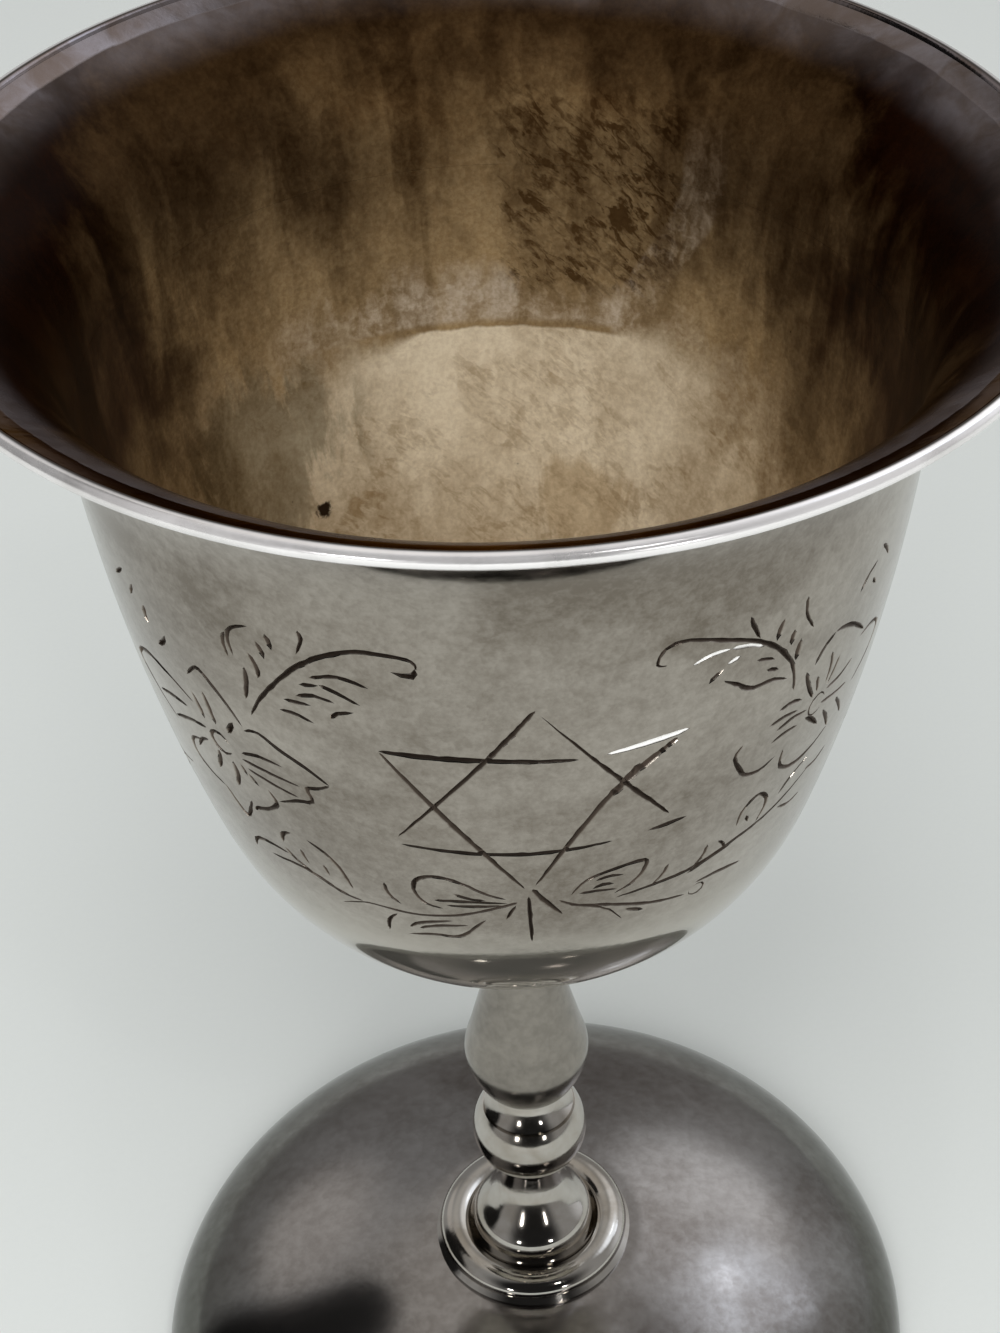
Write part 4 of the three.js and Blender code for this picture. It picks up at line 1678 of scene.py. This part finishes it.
    def wall(self, desk: NodeDesk, marks: PatinaMarks) -> Socket:
        """The colour above the wine's line."""
        flakes = marks.flake * (marks.patch * 0.6 + 0.4)
        flakes = flakes * marks.bearing.between(*self.flake_bearings)
        flakes = flakes * marks.height.between(*self.flake_heights)
        dim = marks.tone * 0.75 + flakes * 0.8 + marks.strayed_up.span(*self.dim_heights, -0.10, 0.22)
        dim = dim + self.dim_column.share(marks.bearing)
        dim = (dim - self.light_column.share(marks.bearing)).clamped()
        halo = marks.strayed_up.span(*self.chalk_heights)
        halo = halo * abs(marks.bearing).span(*self.chalk_bearings)
        leant = marks.bearing - marks.height.span(*self.streak_lean)
        streak = self.streak_of_chalk.share(leant) * marks.height.span(*self.streak_heights)
        chalky = (halo * marks.height.span(*self.chalk_floor)).most(streak)
        # Darker and greyer towards the rim, in patches.
        rimward = (marks.strayed_up.span(*self.fume_heights) + marks.patch * 0.15).clamped()
        colour = desk.blend(dim, self.light_brown, self.deep_brown)
        colour = desk.blend(chalky * marks.tone.span(0.15, 0.75, 0.75, 0.05), colour, self.chalk)
        return desk.blend(rimward, colour, self.fumed, "MULTIPLY")

    def bottom(self, desk: NodeDesk, marks: PatinaMarks) -> Socket:
        """The colour below the wine's line."""
        centred = abs(marks.bearing - self.tan_middle).span(*self.tan_edge, -0.26, 0.04)
        stale = marks.tone * 0.7 + marks.clouds * 0.2 + centred * marks.height.span(*self.tan_upright)
        stale = stale + marks.patch * 0.12
        stale = (stale + marks.flake * (marks.patch * 0.3)).clamped()
        return desk.blend(stale, self.tan, self.stale_tan)

    def shade(self, marks: PatinaMarks, rising: Level) -> Level:
        """How much painted shade a place has: at the two sides, under the rim and in the upper corners.
        """
        sides = marks.strayed_out.span(*self.side_distances) * marks.height.span(*self.side_heights)
        apart = abs(marks.rightward - self.corner_middle) + marks.ragged * 0.0035
        corner = apart.span(*self.corner_distances) * marks.strayed_up.span(*self.corner_heights)
        return sides.most(rising * self.rim_strength).most(corner * self.corner_strength)

    @staticmethod
    def spot(finish: Finish, stain: Spot, rag: Level) -> Level:
        """How far a place lies in a stain whose edge is ragged."""
        apart = finish.desk.measure("DISTANCE", finish.place, stain.place)
        return (apart / ((rag + 0.7) * stain.radius)).span(1.3, 0.8)


@dataclass(frozen=True)
class BrightSilver(Dressing):
    """The stem: bright turned silver, and satin on its egg."""

    name = "bright_silver"
    silver: Colour = (0.50, 0.475, 0.44)
    film: Colour = (0.36, 0.325, 0.28)
    satin: Colour = (0.300, 0.275, 0.242)
    satin_film: Colour = (0.180, 0.165, 0.1452)
    satin_heights: Span = (0.0395, 0.0410)
    satin_roughness: float = 0.12
    roughness: Span = (0.07, 0.13)

    def dress(self, finish: Finish, desk: NodeDesk) -> None:
        """Lays out the nodes that feed the metal."""
        clouds = finish.clouds(150.0, 0.4, 0.7, 0.6)
        grain = finish.clouds(1100.0, 0.3, 0.7, 0.6)
        rubbing = finish.rubbing(2200.0, 0.25)
        egg = finish.height().span(*self.satin_heights)
        satin = desk.blend(grain * 0.5 + clouds * 0.35, self.satin, self.satin_film)
        colour = desk.blend(egg, desk.blend(clouds, self.silver, self.film), satin)
        finish.wear(colour, clouds.span(0.0, 1.0, *self.roughness) + egg * self.satin_roughness)
        finish.bump((rubbing, 0.001), (clouds, 0.008))


@dataclass(frozen=True)
class TarnishedSilver(Dressing):
    """The foot: soft grey-brown blotches over silver, darker towards its edge."""

    name = "tarnished_silver"
    silver: Colour = (0.40, 0.383, 0.372)
    brown: Colour = (0.15, 0.128, 0.113)
    edge: Colour = (0.36, 0.39, 0.36)
    edge_radii: Span = (0.024, 0.0385)
    roughness: Span = (0.11, 0.2)

    def dress(self, finish: Finish, desk: NodeDesk) -> None:
        """Lays out the nodes that feed the metal."""
        clouds = finish.clouds(30.0, 0.36, 0.64, 0.25)
        fine = finish.clouds(160.0, 0.38, 0.64, 0.8)
        grain = finish.clouds(900.0, 0.3, 0.7, 0.6)
        rubbing = finish.rubbing(1300.0, 0.6)
        share = clouds * 0.6 + fine * 0.12 + grain * 0.25
        colour = desk.blend(share, self.silver, self.brown)
        colour = desk.blend(finish.radius().span(*self.edge_radii), colour, self.edge, "MULTIPLY")
        finish.wear(colour, share.span(0.0, 1.0, *self.roughness))
        finish.bump((rubbing, 0.0012), (clouds, 0.012))


# ---- The studio -------------------------------------------------------------------------------


@dataclass(frozen=True)
class Glow:
    """A soft part of the room that the silver reflects, round or drawn out and tapering.

    Its edges are in degrees from where it points: full within the inner, gone at the outer.
    """

    towards: Point3
    inner: float
    outer: float
    colour: Colour
    until: Point3 | None = None
    taper: float = 1.0

    def share(self, desk: NodeDesk, direction: Socket) -> Level:
        """How far a direction of the room lies within the glow.

        Args:
            desk: the desk of the room's tree.
            direction: the direction.

        Returns:
            One inside its inner edge, nought beyond its outer edge.
        """
        start = Vector(self.towards).normalized()
        inner, outer = (2 * math.sin(math.radians(angle) / 2) for angle in (self.inner, self.outer))
        away = desk.vector("SUBTRACT", direction, start)
        if self.until is None:
            return desk.measure("LENGTH", away).span(outer, inner)
        run = Vector(self.until).normalized() - start
        along = (desk.measure("DOT_PRODUCT", away, run) / run.length_squared).clamped()
        apart = desk.measure("LENGTH", desk.vector("SUBTRACT", away, desk.scaled(run, along)))
        return (apart / along.span(0.0, 1.0, 1.0, self.taper)).span(outer, inner)


ROOM_GLOWS = (
    Glow((-0.10, 0.95, 0.25), 10, 45, (0.28, 0.28, 0.28)),
    Glow((0.00, -0.98, 0.15), 25, 55, (0.06, 0.06, 0.06)),
    Glow((0.00, -0.75, 0.66), 26, 54, (0.02, 0.02, 0.02)),
    Glow((-0.15, 0.35, 0.92), 8, 30, (0.62, 0.60, 0.57)),
    Glow((-0.53, 0.65, 0.55), 6, 18, (0.58, 0.56, 0.54)),
    Glow((0.90, 0.35, 0.20), 10, 34, (0.80, 0.82, 0.86)),
    Glow((0.47, 0.56, 0.69), 9, 24, (1.05, 1.06, 1.08)),
    Glow((0.57, 0.32, 0.76), 5, 17, (1.60, 1.72, 1.90)),
    Glow((0.51, 0.40, 0.76), 1.2, 4.0, (2.6, 2.8, 3.1)),
    Glow((0.74, 0.34, 0.58), 2, 8, (1.80, 1.95, 2.2)),
    Glow((-0.45, 0.375, 0.81), 5.8, 9.0, (0.015, 0.015, 0.015), until=(-0.97, 0.14, 0.20), taper=2.7),
)


@dataclass(frozen=True)
class Lamp:
    """A square soft light: its name, place, side in metres and power in watts."""

    name: str
    place: Vector
    size: float
    power: float
    target: Point3

    @classmethod
    def small(cls, name: str, towards: Point3, size: float) -> "Lamp":
        """A small bright lamp that leaves crisp lights on the silver.

        Args:
            name: its name.
            towards: the direction in which it hangs.
            size: its side in metres.

        Returns:
            The lamp.
        """
        far, radiance = 1.5, 30.0
        power = radiance * math.pi * size * size
        return cls(name, Vector(towards).normalized() * far, size, power, (0, 0, 0.03))

    def hang(self) -> bpy.types.Object:
        """Hangs it in the scene, facing its target."""
        data = bpy.data.lights.new(self.name, "AREA")
        data.size = self.size
        data.energy = self.power
        hung = link_object(self.name, data)
        hung.location = self.place
        hung.rotation_euler = (Vector(self.target) - self.place).to_track_quat("-Z", "Y").to_euler()
        return hung


@dataclass
class Studio:
    """The camera, the floor, the room and the lights. The eye is in millimetres."""

    eye: Point3 = (-5.66, -134.93, 206.11)
    yaw: float = 0.1108
    pitch: float = 0.7704
    roll: float = 0.0092
    lens: float = 60.77
    shift: Point = (-0.0966, 0.1076)
    floor_size: float = 6.0
    floor_colour: Colour = (0.76, 0.785, 0.765)
    floor_fleck: Colour = (0.7372, 0.76145, 0.74205)
    floor_roughness: float = 0.75
    room_level: Colour = (0.38, 0.38, 0.38)
    ambient: Colour = (0.31, 0.318, 0.318)

    def camera(self) -> None:
        """Places the camera."""
        data = bpy.data.cameras.new("camera")
        data.lens = self.lens
        data.sensor_width = 36.0
        data.shift_x, data.shift_y = self.shift
        data.clip_start, data.clip_end = 0.005, 50.0
        seen = link_object("camera", data)
        level = math.cos(self.pitch)
        ahead = Vector((math.sin(self.yaw) * level, math.cos(self.yaw) * level, -math.sin(self.pitch)))
        right = Vector((math.cos(self.yaw), -math.sin(self.yaw), 0))
        up = right.cross(ahead)
        turned_right = right * math.cos(self.roll) + up * math.sin(self.roll)
        turned_up = up * math.cos(self.roll) - right * math.sin(self.roll)
        frame_axes = Matrix((turned_right, turned_up, -ahead)).transposed().to_4x4()
        frame_axes.translation = Vector(self.eye) * MM
        seen.matrix_world = frame_axes
        bpy.context.scene.camera = seen

    def floor(self) -> None:
        """Lays a plain pale floor under the cup."""
        mesh = bpy.data.meshes.new("floor")
        half = self.floor_size / 2
        corners = [(-half, -half, 0), (half, -half, 0), (half, half, 0), (-half, half, 0)]
        mesh.from_pydata(corners, [], [(0, 1, 2, 3)])
        laid = link_object("floor", mesh)
        material = bpy.data.materials.new("pale_floor")
        material.use_nodes = True
        desk = NodeDesk(material.node_tree)
        paper = material.node_tree.nodes["Principled BSDF"].inputs
        grain = desk.noise(desk.add("ShaderNodeTexCoord").outputs["Object"], 1400.0, 3.0)
        desk.feed(desk.blend(grain, self.floor_colour, self.floor_fleck), paper["Base Color"])
        paper["Roughness"].default_value = self.floor_roughness
        mesh.materials.append(material)

    def room(self) -> None:
        """Fills the room: soft and pale to see and to light by, patchy in the silver."""
        world = bpy.data.worlds.new("room")
        world.use_nodes = True
        world.cycles.sampling_method = "NONE"
        desk = NodeDesk(world.node_tree)
        direction = desk.add("ShaderNodeTexCoord").outputs["Generated"]
        seen = self.room_level
        for glow in ROOM_GLOWS:
            seen = desk.blend(glow.share(desk, direction), seen, glow.colour)
        in_silver = desk.add("ShaderNodeLightPath").outputs["Is Glossy Ray"]
        background = world.node_tree.nodes["Background"].inputs["Color"]
        desk.feed(desk.blend(in_silver, self.ambient, seen), background)
        bpy.context.scene.world = world

    def lights(self) -> None:
        """Hangs the lights: one broad and soft, which the silver doesn't show, and small lamps."""
        softbox = Lamp("softbox", Vector((-0.1, -0.75, 1.15)), 1.3, 19.0, (0, 0, 0.05))
        softbox.hang().visible_glossy = False
        Lamp.small("lamp_left", (-0.45, -0.85, 0.25), 0.12).hang()
        Lamp.small("lamp_right", (0.42, -0.86, 0.24), 0.10).hang()
        Lamp.small("lamp_high", (0.26, -0.55, 0.79), 0.08).hang()

    def build(self) -> None:
        """Sets up everything that is not the cup."""
        bpy.context.scene.view_settings.view_transform = "Standard"
        self.camera()
        self.floor()
        self.room()
        self.lights()


def main() -> None:
    """Builds the cup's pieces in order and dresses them."""
    logging.basicConfig(level=logging.INFO, format="%(name)s: %(message)s")
    effects = Effects()
    turning = TurningTree()
    foot = Foot().build(turning, TarnishedSilver().make(effects))
    stem = Stem().build(turning, BrightSilver().make(effects))
    bowl = Bowl().build(SatinSilver().make(effects), BrownPatina().make(effects))
    for piece, node, slot in (
        (foot, "foot", Slot.TARNISHED),
        (stem, "stem", Slot.POLISHED),
        (bowl, "bowl", Slot.ENGRAVED),
    ):
        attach(piece, "root")
        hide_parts(node)
    Studio().build()


if __name__ == "__main__":
    main()
